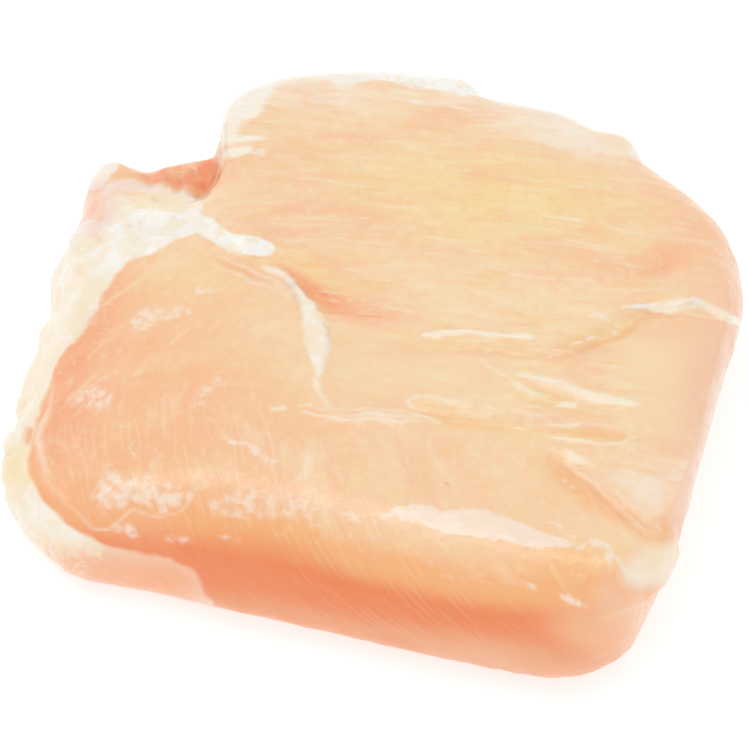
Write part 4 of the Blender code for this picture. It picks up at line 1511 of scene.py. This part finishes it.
@dataclass(frozen=True)
class HiddenSides:
    """How the markings go on where the picture shows nothing: round the back, the left and below."""

    patches: Grainy = Grainy((17, 17, 12), 71, 3)
    fat_side: Ramp = Ramp(-57, -4)
    fat_side_sway: float = 5.0
    fat_front: Ramp = Ramp(-44, 6)
    fat_back: Ramp = Ramp(33, -12)
    fat_back_sway: float = 12.0
    fat_back_slant: float = 0.9
    fat_back_level: float = 10.0
    off_ground: Ramp = Ramp(-0.8, 0.3)
    membrane: Ramp = Ramp(52, 12)
    membrane_breaks: Ramp = Ramp(-0.15, 0.5)
    membrane_amount: float = 0.8
    scraps: Ramp = Ramp(0.25, 0.3)
    scraps_amount: float = 0.7
    notch_x: tuple[Ramp, Ramp] = (Ramp(-45, 7), Ramp(-27, -3))
    notch_y: tuple[Ramp, Ramp] = (Ramp(38, 4), Ramp(69, -8))
    raw_amount: float = 0.85
    hanging: Ramp = Ramp(7, 13)

    def in_notch(self, x: Array, y: Array) -> Array:
        """Give 1 on the steep side between the low chunk and the large lobe, with soft ends."""
        across = self.notch_x[0].at(x) * self.notch_x[1].at(x)
        return across * self.notch_y[0].at(y) * self.notch_y[1].at(y)

    def carry_on(self, spots: Spots, markings: Markings, marks: dict[Kind, Array]) -> None:
        """Let the markings of the top hang a little way down the hidden walls.

        Args:
            spots: What each point is on.
            markings: Everything that is drawn on the skin.
            marks: The amounts, which are added to.
        """
        share = (1.0 - spots.share) * self.hanging.at(spots.points[:, 2])
        for kind, amount in markings.amounts(markings.ragged(spots.flat), share).items():
            marks[kind] += amount

    def add(self, spots: Spots, marks: dict[Kind, Array]) -> None:
        """Add fat down the left side, raw meat in the notch, and scraps of membrane behind and below.

        Each is a soft step in plan, broken up by noise, and counts only where the eye sees nothing.

        Args:
            spots: What each point is on.
            marks: The amounts, which are added to.
        """
        x, y, z = spots.points.T
        hidden = 1.0 - spots.share
        noise = self.patches.at(spots.points)
        back_end = y - self.fat_back_slant * (z - self.fat_back_level) - self.fat_back_sway * noise
        ends = self.fat_front.at(y) * self.fat_back.at(back_end)
        side = self.fat_side.at(x - self.fat_side_sway * noise)
        fat = side * ends * self.off_ground.at(spots.normals[:, 2])
        back = self.membrane_amount * self.membrane.at(y) * self.membrane_breaks.at(noise)
        notch = self.in_notch(x, y)
        film = np.maximum(back, self.scraps.at(noise) * self.scraps_amount) * (1.0 - notch)
        for kind, amount in ((FAT, fat), (FILM, film), (RAW, self.raw_amount * notch)):
            marks[kind] = np.clip(marks[kind] + hidden * amount, 0.0, 1.0)


@dataclass(frozen=True)
class Tones:
    """The meat's and the fat's colours from place to place, some of them painted shade and painted bounce
    light.

    The ramps called shoulder, wall and rear go by how steep the smooth form is, low and hidden_low by the
    height, back by the place, and hollow by the fat's lumps. The shoulder's gold and the walls' salmon are
    partly the meat's own colour and partly painted shade, the low rim's lighter peach is painted bounce
    light, and the cream in the fat's hollows is painted shade.
    """

    drift: Grainy = Grainy((16, 16, 16), 53, 2)
    noises_apart: float = 90.0
    drift_size: float = 5.0
    drift_share: float = 0.4
    clouds: Grainy = Grainy((11, 7, 9), 59, 3)
    cloud_share: float = 0.45
    slope_drift: float = 0.05
    back: Ramp = Ramp(30, 25)
    facing_front: Ramp = Ramp(0.1, -0.4)
    facing_right: Ramp = Ramp(0.45, 0.35)
    right_loss: float = 0.85
    # Painted shade: gold on the shoulder and salmon on the walls, by steepness; painted bounce light: lighter
    # peach on the low rim, by height.
    shoulder: Ramp = Ramp(0.95, -0.16)
    shoulder_amount: float = 0.85
    wall: Ramp = Ramp(0.74, -0.24)
    wall_back_loss: float = 0.75
    wall_elsewhere: float = 0.2
    low: Ramp = Ramp(14.5, -10)
    low_drift: float = 3.0
    low_back_loss: float = 0.5
    low_amount: float = 0.8
    rear: Ramp = Ramp(0.8, -0.3)
    rear_amount: float = 0.7
    fat_cloud_scale: float = 1.3
    fat_cloud_share: float = 0.9
    fat_cloud_end: float = 0.5
    # Painted shade: cream in the hollows between the fat's lumps.
    hollow: Ramp = Ramp(0.54, -0.2)
    hollow_amount: float = 0.6
    hidden_low: Ramp = Ramp(16, -12)
    hidden_low_amount: float = 0.5

    def wander(self, spots: Spots) -> Array:
        """Give two columns of broad noise."""
        return np.column_stack([self.drift.at(spots.points), self.drift.at(spots.points + self.noises_apart)])

    def lay(self, tone: Array, share: Array, colour: Colour) -> None:
        """Lay a colour over the tone by each point's share."""
        tone += share[:, None] * (np.array(colour) - tone)

    def tint(self, tone: Array, spots: Spots, tints: tuple[Tint, ...]) -> None:
        """Lay soft ovals of colour over the tone, one after another, the wider ones wandering more.

        Args:
            tone: A row of red, green and blue for each point, which is changed.
            spots: What each point is on.
            tints: The ovals.
        """
        drift = self.wander(spots)
        for tint in tints:
            at = spots.seen_at + min(self.drift_size, self.drift_share * tint.half_width) * drift
            self.lay(tone, tint.amount(at) * spots.share, tint.colour)

    def of_meat(self, spots: Spots, markings: Markings) -> Array:
        """Mix the colours: the top's tints, then the shoulder's gold and the walls' salmon, partly painted
        shade, and the low rim's peach, painted bounce light.

        The walls' colours go by how steep the smooth form is and by the height, so that the walls
        that the picture doesn't show are finished the same way.

        Args:
            spots: What each point is on.
            markings: The tints of the top and the walls.

        Returns:
            A row of red, green and blue for each point.
        """
        drift = self.wander(spots)
        tone = np.tile(np.array(PEACH), (len(spots.points), 1))
        self.tint(tone, spots, markings.tints)
        clouds = self.cloud_share * self.clouds.at(spots.points)
        self.lay(tone, np.clip(clouds, 0.0, 1.0), PINK_PEACH)
        self.lay(tone, np.clip(-clouds, 0.0, 1.0), PALE)
        right, backward, up = spots.normals.T
        up = up + self.slope_drift * drift[:, 0]
        back = self.back.at(spots.points[:, 1])
        front = self.facing_front.at(backward) * (1.0 - self.right_loss * self.facing_right.at(right))
        # Painted shade: gold where the shoulder turns down.
        self.lay(tone, self.shoulder_amount * self.shoulder.at(up) * (1.0 - back) * front, SHOULDER_GOLD)
        facing = self.wall_elsewhere + (1.0 - self.wall_elsewhere) * front
        # Painted shade: salmon on the steep walls.
        self.lay(tone, self.wall.at(up) * (1.0 - self.wall_back_loss * back) * facing, SALMON)
        low = self.low.at(spots.points[:, 2] - self.low_drift * drift[:, 1])
        # Painted bounce light: a lighter peach low on the walls.
        self.lay(tone, self.low_amount * low * (1.0 - self.low_back_loss * back), LOW_PEACH)
        self.tint(tone, spots, markings.wall_tints)
        self.lay(tone, self.rear_amount * back * self.rear.at(up), BLUSH)
        return np.clip(tone, 0.0, 1.0)

    def of_fat(self, spots: Spots, markings: Markings, plump: Array) -> Array:
        """Mix the fat's colours: white, with soft cream, yellow, peach and pink places, and cream in the
        hollows between the lumps as painted shade.

        Args:
            spots: What each point is on.
            markings: The tints of the fat.
            plump: The fat's lumps.

        Returns:
            A row of red, green and blue for each point.
        """
        tone = np.tile(np.array(WHITE_FAT), (len(spots.points), 1))
        clouds = self.fat_cloud_share * self.clouds.at(spots.points * self.fat_cloud_scale)
        self.lay(tone, np.clip(clouds, 0.0, self.fat_cloud_end), CREAM_FAT)
        # Painted shade in the hollows between the lumps.
        self.lay(tone, self.hollow_amount * self.hollow.at(plump), CREAM_FAT)
        self.tint(tone, spots, markings.fat_tints)
        hidden = (1.0 - spots.share) * self.hidden_low.at(spots.points[:, 2])
        self.lay(tone, self.hidden_low_amount * hidden, PEACH_FAT)
        return np.clip(tone, 0.0, 1.0)


# The finish

Socket = bpy.types.NodeSocket
Feed = Socket | float | tuple


class Wiring:
    """A node tree, with a short call for each node that the finishes use."""

    def __init__(self, tree: bpy.types.NodeTree) -> None:
        """Start with the tree emptied."""
        self.tree = tree
        tree.nodes.clear()

    def node(self, kind: str, fed: dict[int | str, Feed], **settings: str) -> bpy.types.Node:
        """Add a node, set its properties, and then feed its inputs.

        Args:
            kind: Its type, less the words that all of them start with.
            fed: By an input's number or name, the socket that is linked to it or its plain value.
            settings: Its own properties.

        Returns:
            The node.
        """
        made = self.tree.nodes.new(f"ShaderNode{kind}")
        for name, value in settings.items():
            setattr(made, name, value)
        for key, value in fed.items():
            if isinstance(value, Socket):
                self.tree.links.new(value, made.inputs[key])
            else:
                made.inputs[key].default_value = value
        return made

    def attribute(self, name: str, output: str = "Fac") -> Socket:
        """Read an attribute of the mesh."""
        return self.node("Attribute", {}, attribute_name=name).outputs[output]

    def object_place(self) -> Socket:
        """Give the place on the object, in millimetres."""
        place = self.node("TexCoord", {}).outputs["Object"]
        return self.stretched(place, (1.0 / MM, 1.0 / MM, 1.0 / MM))

    def stretched(self, vector: Socket, scale: Row) -> Socket:
        """Multiply a vector axis by axis."""
        return self.node("VectorMath", {0: vector, 1: scale}, operation="MULTIPLY").outputs[0]

    def maths(self, operation: str, *values: Feed) -> Socket:
        """Work one sum."""
        return self.node("Math", dict(enumerate(values)), operation=operation).outputs[0]

    def noise(self, vector: Socket, scale: float, detail: float = 2.0, distortion: float = 0.0) -> Socket:
        """Give soft noise from 0 to 1, with scale cells to a millimetre."""
        fed = {"Vector": vector, "Scale": scale, "Detail": detail, "Distortion": distortion}
        return self.node("TexNoise", fed, noise_dimensions="3D").outputs["Fac"]

    def step(self, value: Feed, low: float, high: float, most: float = 1.0, least: float = 0.0) -> Socket:
        """Go smoothly from least to most as the value goes from low to high."""
        fed = dict(enumerate((value, low, high, least, most)))
        return self.node("MapRange", fed, interpolation_type="SMOOTHSTEP").outputs[0]

    def blend(self, share: Feed, first: Feed, second: Feed) -> Socket:
        """Mix two colours."""
        ends = [(*end, 1.0) if isinstance(end, tuple) else end for end in (first, second)]
        return self.node("Mix", {0: share, 6: ends[0], 7: ends[1]}, data_type="RGBA").outputs[2]

    def between(self, share: Feed, first: Feed, second: Feed) -> Socket:
        """Mix two numbers."""
        return self.node("Mix", {0: share, 2: first, 3: second}, data_type="FLOAT").outputs[0]

    def surface(self, fed: dict[int | str, Feed]) -> None:
        """End the tree in a surface shader with these inputs."""
        shader = self.node("BsdfPrincipled", fed)
        self.node("OutputMaterial", {"Surface": shader.outputs["BSDF"]})


@dataclass(frozen=True)
class FibreLook:
    """How the fibres show on one lobe.

    Attributes:
        run: The attribute with the places along and across the fibres.
        smear: Length and width of the soft smears, in millimetres.
        blotch: Length and width of the broader blotches.
        dash: Length and width of the small bright dashes, painted glints along the fibres.
        dashes: The value of noise above which there are painted glints.
        contrast: How strongly they show.
    """

    run: str
    smear: Place
    blotch: Place
    dash: Place
    dashes: float
    contrast: float


class MeatFinish(Wiring):
    """Wet raw meat with its fat and membranes, from the markings on the mesh.

    A noise is given by its cells to a millimetre, its detail and its distortion, a run by its
    stretch along and across the fibres, and a step by the value's low and high, its most and least.
    """

    name: str = "raw_chicken_breast_meat"
    large_lobe: FibreLook = FibreLook("large_run", (13.0, 2.2), (26.0, 8.0), (4.2, 0.8), 0.63, 0.95)
    left_lobe: FibreLook = FibreLook("left_run", (13.0, 6.0), (24.0, 15.0), (4.0, 1.0), 0.69, 0.65)
    comb_spacing: float = 1.75
    comb_sway: float = 1.6
    comb_sway_run: Row = (0.09, 0.22, 1.0)
    comb_seen_run: Row = (0.16, 0.3, 1.0)
    comb_sharp_step: Row = (0.1, 1.0)
    comb_seen_step: Row = (0.4, 0.62)
    comb_share: float = 0.18
    comb_height: float = 0.05
    smear_noise: Row = (1.0, 3.0, 0.6)
    pink_blotch_step: Row = (0.48, 0.68, 0.6)
    gold_smear_step: Row = (0.48, 0.3, 0.45)
    pale_smear_step: Row = (0.52, 0.72, 0.65)
    dash_fade: float = 0.08
    dash_share: float = 0.9
    speckle_noise: Row = (0.5, 5.0)
    pink_speck_step: Row = (0.48, 0.3, 0.3)
    pale_speck_step: Row = (0.52, 0.7, 0.3)
    plain_step: Row = (0.0, 1.0, 0.9)
    mild_noise: Row = (0.2, 3.0)
    raw_orange_step: Row = (0.4, 0.65)
    strand_run: Row = (0.16, 0.9, 1.0)
    strand_noise: Row = (1.0, 3.0, 0.4)
    strand_step: Row = (0.3, 0.7, 0.16, -0.16)
    film_step: Row = (0.08, 0.95, 0.74)
    lump_noise: Row = (0.3, 4.0, 0.6)
    cream_lump_step: Row = (0.47, 0.66, 0.6)
    white_lump_step: Row = (0.46, 0.34, 0.45)
    yellow_step: Row = (0.5, 0.75, 0.25)
    thin_fat_step: Row = (0.1, 0.95)
    glint_noise: Row = (0.55, 5.0, 0.2)
    glint_step: Row = (0.3, 0.7, 0.42, -0.42)
    glint_wet_step: Row = (0.1, 0.6)
    glare_step: Row = (0.1, 1.25, 0.84)
    fat_edge_noise_step: Row = (0.3, 0.7, 0.06, -0.06)
    fat_edge_step: Row = (0.12, 0.9)
    pit_noise: Row = (0.55, 4.0)
    pit_height: float = 0.24
    fat_lump_noise: Row = (0.35, 3.0)
    fat_lump_height: float = 0.6
    damp_noise: Row = (0.3, 2.0)
    damp_roughness_step: Row = (0.3, 0.7, 0.5, 0.34)
    wet_roughness: float = 0.26
    refraction: float = 1.4
    pale_smear: Colour = (0.95, 0.76, 0.5)
    gold_smear: Colour = (0.93, 0.57, 0.24)
    pink_blotch: Colour = (0.945, 0.525, 0.315)
    # The painted glints' colour, also used for the comb's fine lines.
    pale_dash: Colour = (0.955, 0.85, 0.66)
    # The membranes' colour, also used for pale strokes that are partly painted highlights.
    film: Colour = (0.958, 0.875, 0.745)
    bright_fat: Colour = (0.962, 0.94, 0.915)
    # The painted highlight's colour, laid where the skin is wet.
    painted_glare: Colour = (0.957, 0.79, 0.66)
    # The colour of the painted crease shade and of the fat's specks.
    crease: Colour = (0.94, 0.4, 0.165)
    raw: Colour = (0.97, 0.33, 0.155)
    scatter_weight: float = 0.35
    scatter_radius: Colour = (1.0, 0.55, 0.35)
    scatter_scale: float = 0.003
    coat_weight: float = 0.55
    coat_roughness: float = 0.09
    coat_bump: float = 0.7

    def comb(self) -> Socket:
        """Give fine pale lines along the left lobe's fibres: a sharpened sine across them, with sway.

        Returns:
            1 on a line and 0 between two lines.
        """
        run = self.attribute("left_run", "Vector")
        sway = self.noise(self.stretched(run, self.comb_sway_run), 1.0, 3.0)
        across = self.node("SeparateXYZ", {0: run}).outputs[1]
        turns = self.maths("DIVIDE", across, self.comb_spacing)
        turns = self.maths("MULTIPLY_ADD", sway, self.comb_sway, turns)
        wave = self.maths("SINE", self.maths("MULTIPLY", turns, 2.0 * np.pi))
        sharp = self.step(wave, *self.comb_sharp_step)
        seen = self.noise(self.stretched(run, self.comb_seen_run), 1.0)
        seen = self.maths("MULTIPLY", self.step(seen, *self.comb_seen_step), self.attribute("comb"))
        return self.maths("MULTIPLY", sharp, seen)

    def smeared(self, tone: Socket, look: FibreLook) -> Socket:
        """Lay one lobe's smears over the tone: pink blotches, golden and pale smears, and bright dashes that
        are painted glints.

        Args:
            tone: The colour beneath.
            look: How the lobe's fibres show.

        Returns:
            The colour.
        """
        run = self.attribute(look.run, "Vector")
        smear, blotch, dash = (
            self.noise(self.stretched(run, (1.0 / size[0], 1.0 / size[1], 1.0)), *self.smear_noise)
            for size in (look.smear, look.blotch, look.dash)
        )
        for noise, (low, high, most), colour in (
            (blotch, self.pink_blotch_step, self.pink_blotch),
            (smear, self.gold_smear_step, self.gold_smear),
            (smear, self.pale_smear_step, self.pale_smear),
        ):
            tone = self.blend(self.step(noise, low, high, most * look.contrast), tone, colour)
        # Painted highlights: small bright glints along the fibres.
        bright = self.step(dash, look.dashes, look.dashes + self.dash_fade, self.dash_share)
        return self.blend(self.maths("MULTIPLY", bright, smear), tone, self.pale_dash)

    def meat_colour(self, comb: Socket, speckle: Socket, mild: Socket) -> Socket:
        """Lay the meat's colours over one another: tone, smears, specks, comb, painted crease shade and raw
        meat.

        Args:
            comb: The fine pale lines.
            speckle: Fine noise.
            mild: Broad noise.

        Returns:
            The colour.
        """
        tone = self.attribute("tone", "Color")
        lobes = [self.smeared(tone, look) for look in (self.large_lobe, self.left_lobe)]
        top = self.blend(self.attribute("left_share"), *lobes)
        top = self.blend(self.step(speckle, *self.pink_speck_step), top, self.pink_blotch)
        top = self.blend(self.step(speckle, *self.pale_speck_step), top, self.pale_smear)
        plain = self.maths("MAXIMUM", self.attribute("steep"), self.attribute("calm"))
        tone = self.blend(self.step(plain, *self.plain_step), top, tone)
        tone = self.blend(self.maths("MULTIPLY", comb, self.comb_share), tone, self.pale_dash)
        # Painted shade in the creases.
        tone = self.blend(self.attribute("crease"), tone, self.crease)
        raw = self.blend(self.step(mild, *self.raw_orange_step), self.raw, ORANGE)
        return self.blend(self.attribute("raw"), tone, raw)

    def fat_colour(self, mild: Socket) -> Socket:
        """Lay the thick fat's colours over one another: cream and white lumps, yellow, and the crease marks,
        which are real specks and painted crease shade.

        Args:
            mild: Broad noise.

        Returns:
            The colour.
        """
        lumps = self.noise(self.object_place(), *self.lump_noise)
        fat = self.attribute("fat_tone", "Color")
        fat = self.blend(self.step(lumps, *self.cream_lump_step), fat, CREAM_FAT)
        fat = self.blend(self.step(lumps, *self.white_lump_step), fat, self.bright_fat)
        fat = self.blend(self.step(mild, *self.yellow_step), fat, YELLOW_FAT)
        # The fat's specks, and painted crease shade where a crease crosses the fat.
        return self.blend(self.attribute("crease"), fat, self.crease)

    def colour(self, comb: Socket) -> Socket:
        """Lay film, thin fat, painted glare and thick fat over the meat, with strands that break up their
        edges.

        Args:
            comb: The fine pale lines.

        Returns:
            The colour.
        """
        place = self.object_place()
        speckle = self.noise(place, *self.speckle_noise)
        mild = self.noise(place, *self.mild_noise)
        tone = self.meat_colour(comb, speckle, mild)
        run = self.stretched(self.attribute("large_run", "Vector"), self.strand_run)
        strands = self.step(self.noise(run, *self.strand_noise), *self.strand_step)
        calm = self.maths("MAXIMUM", self.attribute("left_share"), self.attribute("steep"))
        strands = self.maths("MULTIPLY", strands, self.step(calm, 0.0, 1.0, 0.0, 1.0))
        film = self.maths("ADD", strands, self.attribute("film"))
        tone = self.blend(self.step(film, *self.film_step), tone, self.film)
        thin = self.step(self.maths("ADD", strands, self.attribute("thin_fat")), *self.thin_fat_step)
        tone = self.blend(thin, tone, self.attribute("fat_tone", "Color"))
        # Painted highlight: the wet places take the glare colour, broken into glints by noise.
        wet = self.attribute("wet")
        glints = self.step(self.noise(place, *self.glint_noise), *self.glint_step)
        glints = self.maths("MULTIPLY", glints, self.step(wet, *self.glint_wet_step))
        glare = self.step(self.maths("ADD", glints, wet), *self.glare_step)
        tone = self.blend(glare, tone, self.painted_glare)
        edge = self.maths("ADD", self.step(speckle, *self.fat_edge_noise_step), self.attribute("fat"))
        return self.blend(self.step(edge, *self.fat_edge_step), tone, self.fat_colour(mild))

    def bump(self, height: Socket, strength: float) -> Socket:
        """Turn a height in millimetres into a bumped normal."""
        fed = {"Strength": strength, "Distance": MM, "Height": height}
        return self.node("Bump", fed).outputs["Normal"]

    def height(self, comb: Socket) -> Socket:
        """Give the fine relief in millimetres: fibre lines and pits on meat, soft lumps on fat.

        Args:
            comb: The fine pale lines.

        Returns:
            The height.
        """
        place = self.object_place()
        lines = self.maths("MULTIPLY", comb, self.comb_height)
        pits = self.noise(place, *self.pit_noise)
        meat = self.maths("MULTIPLY_ADD", pits, self.pit_height, lines)
        fat = self.maths("MULTIPLY", self.noise(place, *self.fat_lump_noise), self.fat_lump_height)
        return self.between(self.attribute("fat"), meat, fat)

    @classmethod
    def material(cls) -> bpy.types.Material:
        """Make the material and its nodes.

        Returns:
            The material, which any mesh with the attributes can wear.
        """
        material = bpy.data.materials.new(cls.name)
        material.use_nodes = True
        cls(material.node_tree).end()
        return material

    def end(self) -> None:
        """End in the surface's shader, with its roughness falling where it is wet."""
        comb = self.comb()
        height = self.height(comb)
        damp = self.noise(self.object_place(), *self.damp_noise)
        rough = self.step(damp, *self.damp_roughness_step)
        self.surface({
            "Base Color": self.colour(comb),
            "Roughness": self.between(self.attribute("wet"), rough, self.wet_roughness),
            "Normal": self.bump(height, 1.0),
            "Coat Normal": self.bump(height, self.coat_bump),
            "IOR": self.refraction,
            "Subsurface Weight": self.scatter_weight,
            "Subsurface Radius": self.scatter_radius,
            "Subsurface Scale": self.scatter_scale,
            "Coat Weight": self.coat_weight,
            "Coat Roughness": self.coat_roughness,
        })


@dataclass(frozen=True)
class ChickenBreast:
    """The whole breast: its form, its markings, its relief and its tones."""

    form: BreastForm = BreastForm()
    sight: Sight = Sight()
    layout: SkinLayout = SkinLayout()
    fibres: Fibres = Fibres()
    markings: Markings = Markings()
    relief: Relief = Relief()
    hidden: HiddenSides = HiddenSides()
    tones: Tones = Tones()
    steep: Ramp = Ramp(0.94, -0.26)

    def build(self) -> bpy.types.Object:
        """Build the breast as one closed mesh with its markings as attributes.

        Returns:
            The finished object, at the origin.
        """
        skin = self.layout.lay_out(self.form)
        spots = Spots.on(skin, self.sight, self.fibres)
        ragged = self.markings.ragged(spots.seen_at)
        marks = self.markings.amounts(ragged, spots.share)
        lift = self.markings.lift(ragged, spots.share)
        self.hidden.carry_on(spots, self.markings, marks)
        self.hidden.add(spots, marks)
        tones = {
            "tone": self.tones.of_meat(spots, self.markings),
            "fat_tone": self.tones.of_fat(spots, self.markings, self.relief.plump(skin.points)),
        }
        points = skin.points + spots.normals * self.relief.rise(spots, marks, lift)[:, None]
        points[:, 2] = np.clip(points[:, 2], 0.0, None)
        mesh = bpy.data.meshes.new("raw_chicken_breast")
        middle = self.form.middle(self.form.outline_rows(4 * self.layout.cells))
        faces = skin.quads.tolist() + skin.triangles.tolist()
        mesh.from_pydata(((points - middle) * MM).tolist(), [], faces)
        mesh.shade_smooth()
        self.write(mesh, spots, marks, tones)
        piece = bpy.data.objects.new("raw_chicken_breast", mesh)
        bpy.context.scene.collection.objects.link(piece)
        mesh.materials.append(MeatFinish.material())
        return piece

    def write(
        self, mesh: bpy.types.Mesh, spots: Spots, marks: dict[Kind, Array], tones: dict[str, Array],
    ) -> None:
        """Write what the finish reads as attributes of the points.

        Args:
            mesh: The mesh.
            spots: What each point is on.
            marks: The amounts of the markings.
            tones: The colours, by name.
        """
        numbers = {kind.value: amount for kind, amount in marks.items()}
        numbers["left_share"] = spots.left_share
        numbers["steep"] = self.steep.at(spots.normals[:, 2])
        for name, values in numbers.items():
            mesh.attributes.new(name, "FLOAT", "POINT").data.foreach_set("value", values)
        for name, run in (("large_run", spots.large_run), ("left_run", spots.left_run)):
            rows = np.column_stack([run, np.zeros(len(run))])
            mesh.attributes.new(name, "FLOAT_VECTOR", "POINT").data.foreach_set("vector", rows.ravel())
        for name, tone in tones.items():
            rows = np.column_stack([tone, np.ones(len(tone))])
            mesh.attributes.new(name, "FLOAT_COLOR", "POINT").data.foreach_set("color", rows.ravel())

    def dress(self) -> bpy.types.Object:
        """Build the breast and let it stand for the CAD solid.

        Returns:
            The finished object.
        """
        piece = self.build()
        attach(piece, BODY)
        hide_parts(NODE)
        faces = len(piece.data.polygons)
        LOG.info("%s: %d points, %d faces", piece.name, len(piece.data.vertices), faces)
        return piece


# The studio

WHITE = (1.0, 1.0, 1.0, 1.0)


@dataclass(frozen=True)
class Studio:
    """A white floor under an even white sky, with one wide soft light overhead."""

    sky_strength: float = 0.84
    floor_half: float = 6.0
    floor_colour: Colour = (0.5, 0.5, 0.5)
    floor_roughness: float = 0.9
    floor_gloss: float = 0.1
    floor_glow: float = 0.64
    light_height: float = 3.0
    light_size: Place = (3.6, 0.7)
    light_place: Place = (-0.9, 0.3)
    light_power: float = 20.0

    def set_up(self) -> None:
        """Make the sky, the floor and the light, and show colours as they are."""
        bpy.context.scene.view_settings.view_transform = "Standard"
        self.make_sky()
        self.make_floor()
        self.make_light()

    def make_sky(self) -> None:
        """Make an even white sky."""
        world = bpy.data.worlds.new("studio_sky")
        world.use_nodes = True
        wiring = Wiring(world.node_tree)
        background = wiring.node("Background", {"Color": WHITE, "Strength": self.sky_strength})
        wiring.node("OutputWorld", {"Surface": background.outputs["Background"]})
        bpy.context.scene.world = world

    def make_floor(self) -> None:
        """Make a wide flat floor of matt white paper that glows a little."""
        half = self.floor_half
        mesh = bpy.data.meshes.new("studio_floor")
        corners = [(-half, -half, 0), (half, -half, 0), (half, half, 0), (-half, half, 0)]
        mesh.from_pydata(corners, [], [(0, 1, 2, 3)])
        floor = bpy.data.objects.new("studio_floor", mesh)
        material = bpy.data.materials.new("white_studio_paper")
        material.use_nodes = True
        Wiring(material.node_tree).surface({
            "Base Color": (*self.floor_colour, 1.0),
            "Roughness": self.floor_roughness,
            "Specular IOR Level": self.floor_gloss,
            "Emission Color": WHITE,
            "Emission Strength": self.floor_glow,
        })
        mesh.materials.append(material)
        bpy.context.scene.collection.objects.link(floor)

    def make_light(self) -> None:
        """Hang one wide soft light over the breast, facing down."""
        light = bpy.data.lights.new("softbox", "AREA")
        light.shape = "RECTANGLE"
        light.size, light.size_y = self.light_size
        light.energy = self.light_power
        lamp = bpy.data.objects.new("softbox", light)
        lamp.location = (*self.light_place, self.light_height)
        lamp.visible_camera = False
        bpy.context.scene.collection.objects.link(lamp)


@dataclass(frozen=True)
class Viewpoint:
    """The camera, where the picture was taken from. Its lens and sensor are in millimetres."""

    lens: float = 100.0
    sensor: float = 36.0
    nearest: float = 0.01

    def place(self, breast: ChickenBreast) -> None:
        """Put the camera on the breast's line of sight, in metres.

        Args:
            breast: What it looks at.
        """
        sight = breast.sight
        middle = breast.form.middle(breast.form.outline_rows(4 * breast.layout.cells))
        data = bpy.data.cameras.new("picture_camera")
        data.lens = self.lens
        data.sensor_width = self.sensor
        data.clip_start = self.nearest
        camera = bpy.data.objects.new("picture_camera", data)
        camera.location = Vector((sight.eye() - middle) * MM)
        camera.rotation_euler = Vector(sight.back()).to_track_quat("Z", "Y").to_euler()
        bpy.context.scene.collection.objects.link(camera)
        bpy.context.scene.camera = camera


def main() -> None:
    """Build the breast, the studio and the camera."""
    logging.basicConfig(level=logging.INFO, format="%(name)s: %(message)s")
    breast = ChickenBreast()
    breast.dress()
    Studio().set_up()
    Viewpoint().place(breast)


if __name__ == "__main__":
    main()
